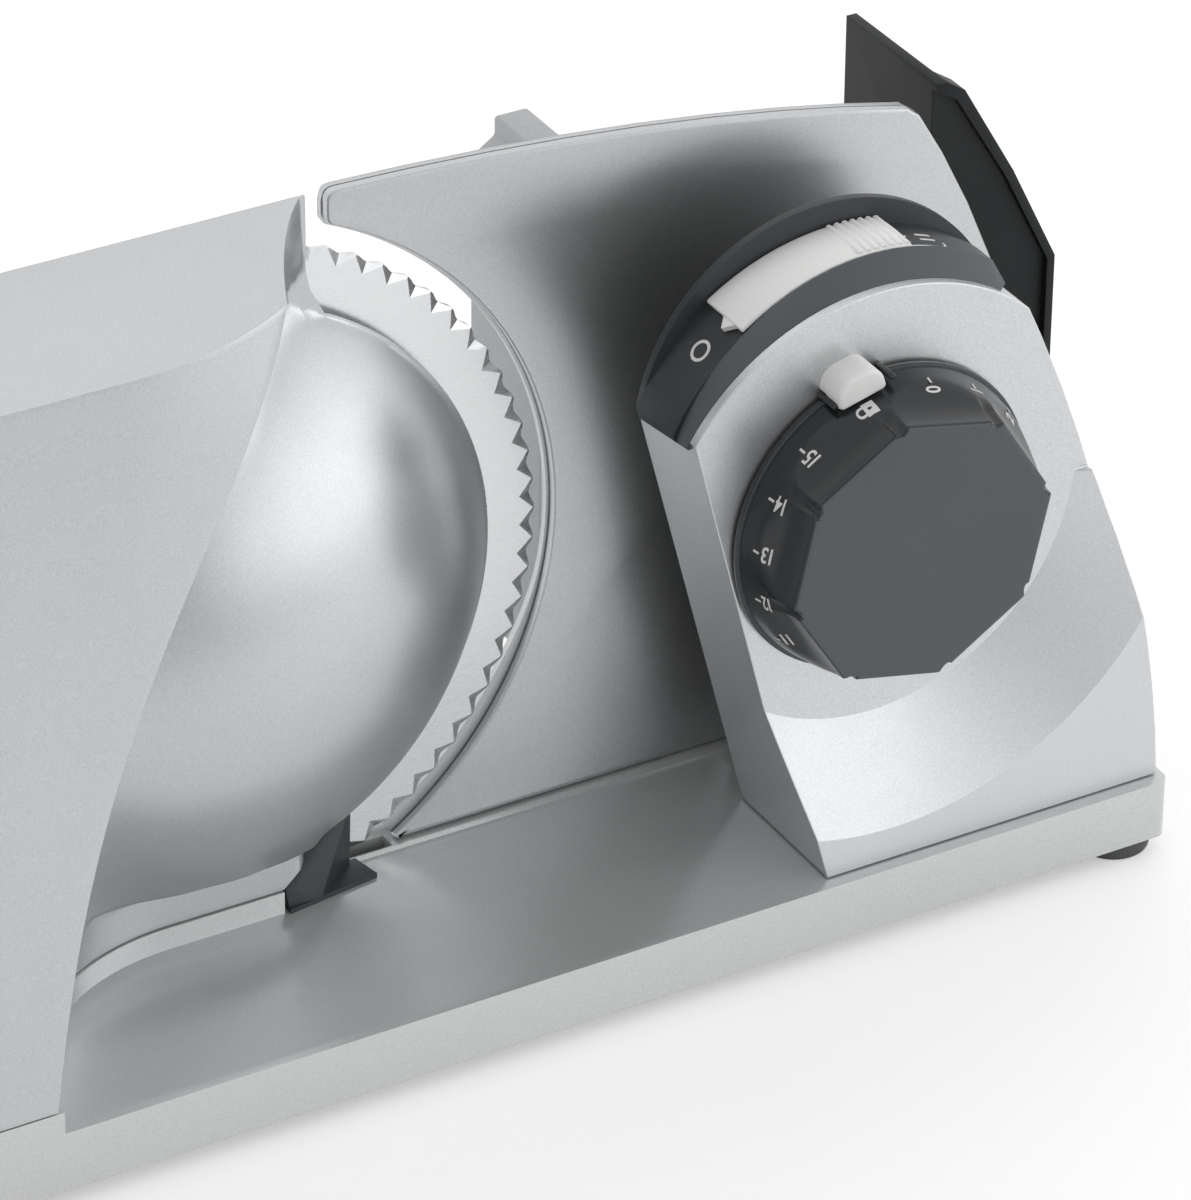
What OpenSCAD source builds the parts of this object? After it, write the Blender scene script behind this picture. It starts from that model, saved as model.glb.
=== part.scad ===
// Folding food slicer: motor and round blade on the left, thickness dial and stop plate on the right,
// food carriage folded up behind the stop plate.
// Inside the modules X runs to the right from the base's right end, Y runs back from the front rim
// and Z runs up from the slice tray. placed() moves all of it to the middle of the footprint.

/* [Base] */
// Length of the base, left to right
base_l = 340; // [320:1:380]
// Depth of the base, front to back
base_d = 84; // [84:1:94]
// Height of the base rim
base_h = 14.7; // [13:0.1:18]
// Corner radius of the base, seen from above
base_corner_r = 3; // [1:0.5:6]
// Wall of the plastic shells
wall = 2.5; // [2:0.1:3]
// Height of the deck under the motor housing
deck_h = 5.4; // [4:0.1:7]
// Height of the low deck behind the tray
rear_deck_h = 1.2; // [0.6:0.1:1.4]
// Height of the rubber feet
foot_h = 4.2; // [3:0.1:6]
// Radius of the rubber feet
foot_r = 7; // [5:0.5:8]
// Thickness of the cover under the base
cover_t = 2; // [1.5:0.1:2.5]

/* [Blade] */
// Radius of the blade
blade_r = 85; // [80:0.5:87]
// Thickness of the blade
blade_t = 1.4; // [1:0.1:1.8]
// Teeth around the blade
blade_teeth = 72; // [40:1:80]
// Depth of the teeth
tooth_d = 2.2; // [1:0.1:3]
// Distance of the blade axis from the left end of the base
blade_from_left = 125.5; // [118:0.5:132]
// Height of the blade axis above the tray
blade_axis_h = 77; // [76:0.5:82]
// Distance of the cutting edge from the front rim
blade_y = 62; // [60:0.5:63]

/* [Motor housing] */
// Height of the roof above the tray
roof_h = 169.5; // [160:0.5:178]
// Backward lean of the front, in degrees
front_lean = 2.4; // [1:0.1:5]
// Radius of the hollow sweep beside the sail edge
sweep_r = 50; // [46:0.5:51]
// Rim radius of the gear dome
dome_rim_r = 72; // [70:0.5:75]
// Height of the gear dome over its rim
dome_h = 40; // [36:0.5:44]
// Height of the skirt below the dome
skirt_h = 14; // [10:0.5:18]

/* [Gears] */
// Tooth module of all gears
gear_module = 1.5; // [1.4:0.01:1.52]
// Teeth of the gear on the blade spindle
blade_gear_teeth = 50; // [46:1:52]
// Teeth of the small idler gear
idler_small_teeth = 14; // [13:1:15]
// Teeth of the large idler gear
idler_large_teeth = 40; // [36:1:42]
// Teeth of the motor pinion
pinion_teeth = 12; // [11:1:13]
// Face width of the gears
gear_w = 4.6; // [4:0.1:5]
// Radius of the blade spindle
spindle_r = 6; // [5:0.1:7]
// Radius of the motor shaft
motor_shaft_r = 3; // [2.5:0.1:3.5]
// Outer radius of the motor
motor_r = 28; // [24:0.5:29]
// Length of the motor core
motor_l = 15; // [12:0.5:16]

/* [Dial housing] */
// Length of the dial housing along the base
dial_house_l = 86.5; // [82:0.5:90]
// Height of the thickness dial's axis above the tray
dial_z = 83.6; // [80:0.1:86]
// Distance of the thickness dial's axis from the right end of the base
dial_from_right = 71.4; // [69:0.1:73]
// Radius of the silver arch over the dial
arch_r = 54.5; // [53:0.5:56]
// Distance of the dial face from the front rim
face_y = 13.8; // [13:0.1:15]
// Distance of the rear of the dial housing from the front rim
dial_rear_y = 40; // [39:0.5:42]
// Radius of the thickness dial at its numbers
dial_r = 36.6; // [34:0.1:38]
// Radius of the thickness dial's grip over the corners
knob_r = 32; // [28:0.1:32.5]
// Length of the thickness dial's grip
knob_l = 9; // [8:0.5:12]
// Radius of the scoop below the dial, at the dial face
scoop_r = 50.5; // [48:0.5:52]
// Radius of the scoop at the front of the housing
scoop_front_r = 75; // [72:0.5:77]

/* [Stop plate] */
// Height of the stop plate above the tray, at its left end
stop_h = 167.2; // [160:0.1:172]
// Thickness of the stop plate
stop_t = 5; // [4:0.1:5.2]
// Travel of the stop plate
stop_travel = 16; // [10:0.5:16]
// Turn of the dial over that travel, in degrees
dial_turn = 330; // [300:5:340]
// Radius of the guide pins
guide_pin_r = 3; // [2.5:0.1:3.5]

/* [Carriage] */
// Length of the carriage
carriage_l = 129; // [120:1:134]
// Height of the folded carriage above the tray
carriage_h = 148; // [140:1:155]
// Thickness of the carriage plate
carriage_t = 4; // [3:0.1:4.4]
// Radius of the guide rod
rod_r = 4; // [3.5:0.1:4.4]
// Distance of the guide rod from the front rim
rod_y_pos = 76; // [76:0.1:77]
// Height of the guide rod above the tray
rod_z_pos = 12.3; // [12.2:0.1:13]

/* [Fits] */
// Radial clearance of turning and sliding fits
run_fit = 0.05; // [0.03:0.01:0.1]
// Gap between pieces that pass each other
pass_gap = 0.4; // [0.3:0.05:0.6]

/* [Hidden] */
$fn = 64;
big = 400;

// Base and floor
left_x = -base_l;
base_bottom = -base_h;
floor_z = base_bottom - foot_h;
rear_deck_y = 59.5;
foot_in = 9;
screw_r = 1.5;
screw_head_r = 3;
screw_head_h = 1.6;

// Blade drive
blade_x = left_x + blade_from_left;
blade_z = blade_axis_h;
house_rear = blade_y - 3;
plate_t = 3.3;
plate_front = house_rear - plate_t;
boss_l = 5;
boss_r = 13;
gear2_back = plate_front - boss_l - 1;
gear2_front = gear2_back - gear_w;
gear1_back = gear2_front - 1.2;
gear1_front = gear1_back - gear_w;
gear_addendum = 0.8 * gear_module;
gear_dedendum = 1.1 * gear_module;
gear_play = 0.25;
pressure_angle = 20;
idler_angle = 155;
motor_angle = 215;
idler_dist = gear_module * (blade_gear_teeth + idler_small_teeth) / 2;
motor_dist = gear_module * (idler_large_teeth + pinion_teeth) / 2;
idler_x = blade_x + idler_dist * cos(idler_angle);
idler_z = blade_z + idler_dist * sin(idler_angle);
motor_x = idler_x + motor_dist * cos(motor_angle);
motor_z = idler_z + motor_dist * sin(motor_angle);
bracket_t = 1.5;
motor_back = gear1_front - 1 - bracket_t;
motor_front = motor_back - motor_l;
rotor_r = motor_r * 0.58;
air_gap = 0.6;
bush_wall = 2;
idler_axle_r = 3;
spindle_bush_r = spindle_r + bush_wall;
blade_front = blade_y - blade_t / 2;
blade_back = blade_y + blade_t / 2;
hub_r = 18;
post_r = 3;
post_angles = [150, 210, 300];
post_circle = motor_r + post_r + 1.5;

// Motor housing
sail_foot_x = blade_x - 61.7;
sail_top_x = blade_x - 1.5;
sail_bulge = 8.7;
sail_chord = [sail_top_x - sail_foot_x, roof_h - deck_h];
sail_len = norm(sail_chord);
sail_dir = sail_chord / sail_len;
sail_radius = pow(sail_len / 2, 2) / (2 * sail_bulge) + sail_bulge / 2;
sail_mid = [sail_foot_x, deck_h] + sail_chord / 2 + sail_bulge * [-sail_dir[1], sail_dir[0]];
sail_centre = sail_mid + sail_radius * [sail_dir[1], -sail_dir[0]];
dome_sphere_r = (pow(dome_rim_r, 2) + pow(dome_h, 2)) / (2 * dome_h);
dome_centre_y = house_rear - dome_h + dome_sphere_r;
skirt_y = sweep_r + 1;
skirt_end_x = blade_x + 16.5;
skirt_run = skirt_h;
roof_end_x = blade_x + 29.5;
deck_lip = 1.5;

// Dial housing and switch
dial_x = -dial_from_right;
dial_house_right = -1.7;
dial_house_left = dial_house_right - dial_house_l;
low_front_y = 3.2;
side_lean = 0.2586;
drum_low_z = 111;
drum_right = [-37, 129];
drum_x = dial_x + 1.6;
drum_z = dial_z + 2.9;
drum_tilt = 9.6;
drum_rear_y = dial_rear_y - 1;
groove_front = 22;
groove_back = 37;
groove_r = arch_r;
drum_wall = 3.5;
band_r = arch_r - 2.9;
flange_r = arch_r - 9.1;
slider_r = groove_r + 2;
slider_angles = [79.3, 124.7];
slider_turn = 25;
peg_angle = slider_angles[1] - 10;
slider_peg_r = 2;
shaft_r = 4;
dial_bush_r = shaft_r + bush_wall;
ring_back = face_y - 0.3;
ring_front = ring_back - 9.5;
knob_front = ring_front - knob_l;
pointer_angle = 103;

// Stop plate drive
stop_front = blade_y - 1;
stop_back = stop_front + stop_t;
stop_bottom = rear_deck_h + pass_gap;
stop_cut_r = blade_r + 5;
stop_bracket_t = 3;
stop_bracket_front = stop_front - stop_bracket_t;
back_cover_t = 2.5;
back_cover_front = dial_rear_y - back_cover_t;
cam_lead = stop_travel / dial_turn;
cam_r = 20;
cam_hub_r = 10;
ramp_in = cam_hub_r - 0.5;
ramp_out = cam_r - 0.4;
ramp_parts = 60;
cam_front = face_y + wall + 1;
cam_floor = cam_front + 2;
follower_r = 1.6;
follower_at = 16;
follower_angle = 270;
follower_tip = cam_floor + stop_travel + 0.8;
guide_z = 12;
guide_xs = [-72, -14];
guide_front = 27;
guide_bush_r = guide_pin_r + bush_wall;
guide_head_r = guide_pin_r + 2;
guide_head_t = 1.5;
guide_bush_front = back_cover_front - 2.5;
spring_r = guide_pin_r + 1.1;
spring_wire_r = 0.5;
spring_turns = 3;

// Carriage
carriage_right = 8.5;
carriage_left = carriage_right - carriage_l;
carriage_front = rod_y_pos - 5.5;
carriage_back = carriage_front + carriage_t;
carriage_bottom = rod_z_pos - 6;
leg_end = rod_y_pos + rod_z_pos - floor_z - pass_gap;
leg_w = 14.5;
leg_rib_w = 9;
leg_inset = 6;
leg_bottom = rod_z_pos + 11.7;
end_wall_x = -22;
end_wall_t = 2.6;
rib_t = 3;
tab_w = 12;
tab_t = 3;
lug_r = 9;
lug_w = 10;
lug_xs = [carriage_left + 8, -26];
sleeve_r = rod_r + 2.5;
sleeve_ends = [carriage_left + 4, -12];
collar_t = 2;
collar_r = 9;
bracket_w = 10;
bracket_d = 14;
bracket_top = rod_z_pos + rod_r + 3.5;
lip_t = 2;
lip_h = 2;

// Footprint that the frame is centred on
front_most = knob_front;
shift = [-(left_x + carriage_right) / 2, -(front_most + leg_end) / 2, -floor_z];

module placed() translate(shift) children();

// A flat shape drawn in X and Z, given a depth from y0 to y1
module along_y(y0, y1) translate([0, y1, 0]) rotate([90, 0, 0]) linear_extrude(y1 - y0) children();

// A round bar along Y
module rod_y(x, z, y0, y1, r) translate([x, y0, z]) rotate([-90, 0, 0]) cylinder(h = y1 - y0, r = r);

// A tapered round bar along Y
module cone_y(x, z, y0, y1, r0, r1) {
    translate([x, y0, z]) rotate([-90, 0, 0]) cylinder(h = y1 - y0, r1 = r0, r2 = r1);
}

// A tube along Y
module tube_y(x, z, y0, y1, r, bore) {
    difference() {
        rod_y(x, z, y0, y1, r);
        rod_y(x, z, y0 - 1, y1 + 1, bore);
    }
}

// A round bar along X
module rod_x(x0, x1, y, z, r) translate([x0, y, z]) rotate([0, 90, 0]) cylinder(h = x1 - x0, r = r);

// A curved bar about an axis along Y, between two angles counted from X towards Z
module arc_y(x, z, r0, r1, y0, y1, a0, a1) {
    translate([x, 0, z]) rotate([90, 0, 0]) rotate([0, 0, a0])
        rotate_extrude(angle = a1 - a0) translate([r0, -y1]) square([r1 - r0, y1 - y0]);
}

// A block between two corners
module block(low, high) translate(low) cube(high - low);

// A block with round upright edges
module round_block(low, high, r) {
    block([low[0] + r, low[1], low[2]], [high[0] - r, high[1], high[2]]);
    block([low[0], low[1] + r, low[2]], [high[0], high[1] - r, high[2]]);
    for (x = [low[0] + r, high[0] - r], y = [low[1] + r, high[1] - r])
        translate([x, y, low[2]]) cylinder(h = high[2] - low[2], r = r);
}

// A pan-head screw along Y, its head at y and its shank towards positive Y
module screw_y(x, z, y, l) {
    rod_y(x, z, y, y + screw_head_h, screw_head_r);
    rod_y(x, z, y + screw_head_h, y + screw_head_h + l, screw_r);
}

// Points of a curve from a over b to c
function curve(a, b, c, n) = [for (i = [0:n]) let (t = i / n) a * pow(1 - t, 2) + b * 2 * t * (1 - t) + c * t * t];

// Involute function in degrees
function involute(a) = tan(a) * 180 / PI - a;

// Half the angle that a tooth takes up at radius rho
function half_tooth(teeth, rho) =
    let (r = gear_module * teeth / 2, base = r * cos(pressure_angle))
    90 / teeth - gear_play / 2 / r * 180 / PI + involute(pressure_angle) - involute(acos(min(1, base / rho)));

// Outline of a gear with one tooth on the X axis
function gear_points(teeth) =
    let (
        r = gear_module * teeth / 2,
        base = r * cos(pressure_angle),
        root = r - gear_dedendum,
        tip = r + gear_addendum,
        radii = [root, max(base, root + 0.1), r, tip],
        flank = [for (rho = radii) [rho, half_tooth(teeth, max(rho, base))]],
        back = [for (i = [3:-1:0]) flank[i]]
    )
    [for (k = [0:teeth - 1])
        let (a = k * 360 / teeth)
        each concat(
            [for (f = flank) f[0] * [cos(a - f[1]), sin(a - f[1])]],
            [for (f = back) f[0] * [cos(a + f[1]), sin(a + f[1])]])];

// A spur gear about an axis along Y, one tooth pointing at the angle toward
module spur_gear(x, z, y0, y1, teeth, toward) {
    along_y(y0, y1) translate([x, z]) rotate(toward) polygon(gear_points(teeth));
}

// Base

module deck_outline() {
    difference() {
        translate([left_x + base_corner_r, 0]) square([base_l - base_corner_r + skirt_end_x, house_rear + deck_lip]);
        translate([sail_foot_x + sweep_r, 0]) circle(sweep_r - deck_lip);
        translate([sail_foot_x + sweep_r, -1]) square([big, skirt_y - deck_lip + 1]);
    }
}

module base_tray() {
    slot_half = sqrt(pow(blade_r + pass_gap, 2) - pow(blade_z - deck_h, 2)) + 2;
    color("silver") difference() {
        union() {
            round_block([left_x, 0, base_bottom], [0, base_d, 0], base_corner_r);
            block([left_x + base_corner_r, rear_deck_y, -wall], [-base_corner_r, base_d - base_corner_r, rear_deck_h]);
            translate([0, 0, -wall]) linear_extrude(deck_h + wall) deck_outline();
        }
        block([left_x + wall, wall, base_bottom - 1], [-wall, base_d - wall, -wall]);
        block([blade_x - slot_half, blade_y - 2, -wall - 1], [blade_x + slot_half, blade_y + 2.5, deck_h + 1]);
        rod_y(left_x + 30, base_bottom / 2 - 0.5, base_d - wall - 1, base_d + 1, 3.5);
    }
}

module base_cover() {
    color("dimgray") difference() {
        block([left_x + wall, wall, base_bottom], [-wall, base_d - wall, base_bottom + cover_t]);
        for (x = [left_x + 26, -26], y = [foot_in + 4, base_d - foot_in - 4])
            translate([x, y, base_bottom - 1]) cylinder(h = cover_t + 2, r = screw_r);
    }
}

module rubber_feet() {
    color("black") for (x = [left_x + foot_in, -foot_in], y = [foot_in, base_d - foot_in])
        translate([x, y, floor_z]) cylinder(h = foot_h, r1 = foot_r - 0.6, r2 = foot_r);
}

module base_screws() {
    color("gray") for (x = [left_x + 26, -26], y = [foot_in + 4, base_d - foot_in - 4]) {
        translate([x, y, base_bottom - screw_head_h]) cylinder(h = screw_head_h, r = screw_head_r);
        translate([x, y, base_bottom]) cylinder(h = base_h - wall, r = screw_r);
    }
}

module cord_gland() {
    z = base_bottom / 2 - 0.5;
    color("black") difference() {
        union() {
            rod_y(left_x + 30, z, base_d - wall, base_d + 2, 3.5);
            rod_y(left_x + 30, z, base_d, base_d + 2, 4.6);
        }
        rod_y(left_x + 30, z, base_d - wall - 1, base_d + 3, 2.2);
    }
}

// Motor housing

// The ring-shaped hollow that gives the sail edge, for a tube of radius r
module sweep_cut(r) {
    translate([sail_centre[0], 0, sail_centre[1]]) translate([0, tan(front_lean) * (sail_centre[1] - deck_h), 0])
        rotate([90 - front_lean, 0, 0]) rotate_extrude($fn = 96)
            translate([sail_radius - sweep_r, 0]) circle(r);
}

// Everything in front of the leaning front face, moved back by inset
module front_cut(inset) {
    translate([0, inset, deck_h]) rotate([-front_lean, 0, 0])
        block([-2 * big, -big, -big], [big, 0, big]);
}

// The housing's body without the dome, drawn in by inset
module sail_body(inset, rear) {
    difference() {
        along_y(-1, rear) polygon([
            [left_x + inset, deck_h + inset], [skirt_end_x - inset, deck_h + inset],
            [skirt_end_x + skirt_run - inset, deck_h + skirt_h], [roof_end_x - inset, roof_h - inset],
            [left_x + inset, roof_h - inset]]);
        front_cut(inset);
        sweep_cut(sweep_r + inset);
        block([sail_foot_x + sweep_r, -big, deck_h - 1], [big, skirt_y + inset, deck_h + 60]);
    }
}

// The dome's cap over its skirt, drawn in by inset
module dome_cap(inset, rear) {
    difference() {
        translate([blade_x, dome_centre_y, blade_z]) sphere(r = dome_sphere_r - inset, $fn = 128);
        block([-2 * big, rear, -big], [big, big, big]);
        block([-2 * big, -big, -big], [big, big, deck_h + inset]);
        block([-2 * big, -big, -big], [big, skirt_y + inset, deck_h + skirt_h + inset]);
        along_y(-big, big) deflector_seat(inset);
    }
}

// What the housing leaves free for the slice deflector
module deflector_seat(inset) {
    polygon([
        [skirt_end_x - inset, 0], [skirt_end_x - inset, deck_h],
        [skirt_end_x + skirt_run - inset, deck_h + skirt_h + inset], [0, deck_h + skirt_h + inset], [0, 0]]);
}

module motor_housing() {
    color("silver") difference() {
        union() {
            sail_body(0, house_rear);
            dome_cap(0, house_rear);
        }
        sail_body(wall, house_rear + 1);
        dome_cap(wall, house_rear + 1);
    }
    color("silver") for (p = housing_screw_spots)
        tube_y(p[0], p[1], plate_front - housing_boss_l, plate_front, housing_boss_r, screw_r);
}

module gearbox_outline(gap) {
    difference() {
        union() {
            translate([blade_x, blade_z]) circle(dome_rim_r - wall - gap - 6);
            translate([left_x + wall + gap, deck_h + wall + gap])
                square([blade_x - 22 - left_x - wall - gap, roof_h - deck_h - 2 * (wall + gap)]);
        }
        deflector_seat(wall + 2 * gap);
    }
}

housing_boss_r = 4.5;
housing_boss_l = 16;
housing_boss_in = housing_boss_r + 2;
housing_screw_spots = [
    [left_x + housing_boss_in, deck_h + 30], [left_x + housing_boss_in, roof_h - 30],
    [blade_x - 40, roof_h - housing_boss_in], [blade_x - 72, deck_h + housing_boss_in]
];

module gearbox_plate() {
    color("gainsboro") difference() {
        union() {
            along_y(plate_front, house_rear) gearbox_outline(pass_gap / 2);
            rod_y(blade_x, blade_z, plate_front - boss_l, house_rear, boss_r);
            rod_y(idler_x, idler_z, plate_front - 1, house_rear, idler_axle_r + 4);
        }
        rod_y(blade_x, blade_z, plate_front - boss_l - 1, house_rear + 1, spindle_bush_r);
        rod_y(idler_x, idler_z, plate_front - 2, house_rear + 1, idler_axle_r);
        for (p = housing_screw_spots) rod_y(p[0], p[1], plate_front - 1, house_rear + 1, screw_r);
    }
}

module housing_screws() {
    color("gray") for (p = housing_screw_spots)
        translate([0, 2 * house_rear, 0]) mirror([0, 1, 0])
            screw_y(p[0], p[1], house_rear - screw_head_h, 14);
}

module slice_deflector() {
    foot_x = skirt_end_x + 1;
    fin_top = deck_h + skirt_h - 3;
    fin_left = skirt_end_x + skirt_run - 5.6;
    color("dimgray") {
        linear_extrude(rear_deck_h) polygon([
            [foot_x, skirt_y - deck_lip - 1], [foot_x + 23, skirt_y + 1],
            [foot_x + 21.5, rear_deck_y], [foot_x, rear_deck_y]]);
        hull() {
            block([foot_x, skirt_y - deck_lip, rear_deck_h], [foot_x + 8, skirt_y + 1, rear_deck_h + 0.2]);
            block([foot_x, skirt_y, deck_h - 1], [foot_x + 3, skirt_y + 1.5, deck_h - 0.8]);
            block([foot_x + 10, house_rear - 1.6, rear_deck_h], [foot_x + 19, house_rear + 0.4, rear_deck_h + 0.2]);
            block([fin_left, house_rear - 1.4, fin_top - 3.6], [fin_left + 1, house_rear + 0.4, fin_top - 3.4]);
            block([foot_x + 18, house_rear - 0.6, fin_top], [foot_x + 20, house_rear + 0.4, fin_top + 0.2]);
        }
    }
}

// Motor

module motor_stator() {
    color("dimgray") difference() {
        rod_y(motor_x, motor_z, motor_front, motor_back, motor_r);
        rod_y(motor_x, motor_z, motor_front - 1, motor_back + 1, rotor_r + air_gap);
    }
}

module motor_brackets() {
    color("lightgray") {
        tube_y(motor_x, motor_z, motor_front - bracket_t, motor_front, motor_r * 0.8, motor_shaft_r + bush_wall);
        difference() {
            union() {
                rod_y(motor_x, motor_z, motor_back, motor_back + bracket_t, motor_r);
                for (a = post_angles)
                    rod_y(motor_x + post_circle * cos(a), motor_z + post_circle * sin(a),
                        motor_back, motor_back + bracket_t, post_r + 2.5);
            }
            rod_y(motor_x, motor_z, motor_back - 1, motor_back + bracket_t + 1, motor_shaft_r + bush_wall);
        }
    }
}

module motor_posts() {
    color("lightgray") for (a = post_angles)
        rod_y(motor_x + post_circle * cos(a), motor_z + post_circle * sin(a),
            motor_back + bracket_t, plate_front, post_r);
}

module motor_bushes() {
    color("goldenrod") for (y = [motor_front - bracket_t, motor_back])
        tube_y(motor_x, motor_z, y, y + bracket_t, motor_shaft_r + bush_wall, motor_shaft_r + run_fit);
}

module motor_rotor() {
    color("peru") tube_y(motor_x, motor_z, motor_front + 1, motor_back - 1, rotor_r, motor_shaft_r);
}

module motor_shaft() {
    color("gray") rod_y(motor_x, motor_z, motor_front - bracket_t - 0.5, gear1_back + 0.5, motor_shaft_r);
}

module motor_pinion() {
    color("white") difference() {
        spur_gear(motor_x, motor_z, gear1_front, gear1_back, pinion_teeth, motor_angle + 180);
        rod_y(motor_x, motor_z, gear1_front - 1, gear1_back + 1, motor_shaft_r);
    }
}

// Idler and blade spindle

module idler_axle() {
    color("gray") rod_y(idler_x, idler_z, gear1_front - 0.5, house_rear, idler_axle_r);
}

module idler_gear() {
    color("white") difference() {
        union() {
            spur_gear(idler_x, idler_z, gear1_front, gear1_back, idler_large_teeth,
                motor_angle + 180 / idler_large_teeth);
            rod_y(idler_x, idler_z, gear1_front, gear2_back, idler_axle_r + 3);
            spur_gear(idler_x, idler_z, gear2_front - 0.2, gear2_back, idler_small_teeth, idler_angle + 180);
        }
        rod_y(idler_x, idler_z, gear1_front - 1, gear2_back + 1, idler_axle_r + run_fit);
    }
}

module spindle_bush() {
    color("goldenrod")
        tube_y(blade_x, blade_z, plate_front - boss_l, house_rear, spindle_bush_r, spindle_r + run_fit);
}

module blade_spindle() {
    color("gray") {
        rod_y(blade_x, blade_z, gear2_front, house_rear + pass_gap, spindle_r);
        rod_y(blade_x, blade_z, house_rear + pass_gap, blade_front, hub_r);
    }
}

module blade_gear() {
    color("white") difference() {
        union() {
            spur_gear(blade_x, blade_z, gear2_front, gear2_back, blade_gear_teeth,
                idler_angle + 180 / blade_gear_teeth);
            rod_y(blade_x, blade_z, gear2_front, gear2_back + 0.6, spindle_r + 4);
        }
        rod_y(blade_x, blade_z, gear2_front - 1, gear2_back + 1, spindle_r);
    }
}

blade_screw_circle = hub_r - 6;

module blade() {
    points = 4;
    outline = [for (i = [0:blade_teeth * points - 1])
        let (a = i * 360 / (blade_teeth * points), dip = [0, 0.55, 1, 0.55][i % points])
        (blade_r - tooth_d * dip) * [cos(a), sin(a)]];
    color("lightgray") difference() {
        intersection() {
            along_y(blade_front, blade_back) translate([blade_x, blade_z]) polygon(outline);
            union() {
                rod_y(blade_x, blade_z, blade_front, blade_back, blade_r - 9);
                cone_y(blade_x, blade_z, blade_front, blade_back - 0.1, blade_r - 9, blade_r + 1);
                rod_y(blade_x, blade_z, blade_back - 0.1, blade_back, blade_r + 1);
            }
        }
        for (a = [90, 210, 330])
            rod_y(blade_x + blade_screw_circle * cos(a), blade_z + blade_screw_circle * sin(a),
                blade_front - 1, blade_back + 1, screw_r);
    }
}

module blade_screws() {
    color("gray") for (a = [90, 210, 330]) {
        x = blade_x + blade_screw_circle * cos(a);
        z = blade_z + blade_screw_circle * sin(a);
        rod_y(x, z, blade_front, blade_back, screw_r);
        rod_y(x, z, blade_back, blade_back + 1.2, screw_head_r);
    }
}

// Dial housing

// Outline of the dial housing up to the arch over the dial, drawn in by inset
module dial_outline(inset) {
    right_side = curve([dial_house_right - inset, inset], [dial_house_right - 3.5 - inset, 62],
        [drum_right[0] - inset, drum_right[1]], 10);
    intersection() {
        polygon(concat(right_side, [[drum_right[0] - inset, dial_z + arch_r]], [
            [dial_house_left + inset - side_lean * (dial_z + arch_r), dial_z + arch_r],
            [dial_house_left + inset - side_lean * inset, inset]]));
        union() {
            translate([dial_x, dial_z]) circle(arch_r - inset, $fn = 128);
            translate([-big / 2, 0]) square([big, dial_z - 4]);
        }
    }
}

// The side of the slanting line on which the switch drum sits
module drum_zone() {
    polygon([[dial_house_left - side_lean * drum_low_z - 6, drum_low_z - 1.3], drum_right + [14, 3.2],
        [drum_right[0] + 14, 2 * drum_right[1]], [dial_house_left - 60, 2 * drum_right[1]]]);
}

// The drum's room between two depths; its floor falls to the rear
module drum_room(front, back, gap = 0) {
    intersection() {
        block([-big, front, -big], [big, back, big]);
        translate([0, face_y + wall, drum_low_z - gap]) rotate([-drum_tilt, 0, 0])
            translate([0, 0, -drum_low_z]) along_y(-big, big) drum_zone();
    }
}

back_boss_r = 4.5;
back_boss_l = 10;
back_screw_spots = [[dial_house_left - side_lean * 40 + back_boss_r + 2, 40], [dial_house_right - 4.6 - back_boss_r - 2, 40]];

module dial_housing() {
    color("silver") for (p = back_screw_spots)
        tube_y(p[0], p[1], back_cover_front - back_boss_l, back_cover_front, back_boss_r, screw_r);
    color("silver") difference() {
        along_y(low_front_y, dial_rear_y) dial_outline(0);
        cone_y(dial_x, dial_z, low_front_y - 1, face_y, scoop_front_r + 2.5, scoop_r);
        block([-big, -big, dial_z - 4], [big, face_y, big]);
        drum_room(face_y + wall, dial_rear_y + 1);
        difference() {
            along_y(low_front_y + wall, dial_rear_y + 1) dial_outline(wall);
            cone_y(dial_x, dial_z, low_front_y - 1, face_y + wall, scoop_front_r + 2.5 + wall, scoop_r + wall);
            block([-big, -big, dial_z - 6], [big, face_y + wall, big]);
        }
        rod_y(dial_x, dial_z, face_y - 1, face_y + wall + 1, dial_bush_r);
    }
}

module dial_housing_back() {
    color("dimgray") difference() {
        along_y(back_cover_front, dial_rear_y) dial_outline(wall + pass_gap / 2);
        drum_room(back_cover_front - 1, dial_rear_y + 1, pass_gap);
        rod_y(dial_x, dial_z, back_cover_front - 1, dial_rear_y + 1, shaft_r + run_fit);
        rod_y(dial_x + follower_at * cos(follower_angle), dial_z + follower_at * sin(follower_angle),
            back_cover_front - 1, dial_rear_y + 1, follower_r + pass_gap);
        for (x = guide_xs) rod_y(x, guide_z, back_cover_front - 1, dial_rear_y + 1, guide_bush_r);
        for (p = back_screw_spots) rod_y(p[0], p[1], back_cover_front - 1, dial_rear_y + 1, screw_r);
    }
}

module back_screws() {
    color("gray") for (p = back_screw_spots)
        translate([0, 2 * dial_rear_y, 0]) mirror([0, 1, 0]) screw_y(p[0], p[1], dial_rear_y - screw_head_h, 8);
}

// Switch

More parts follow.
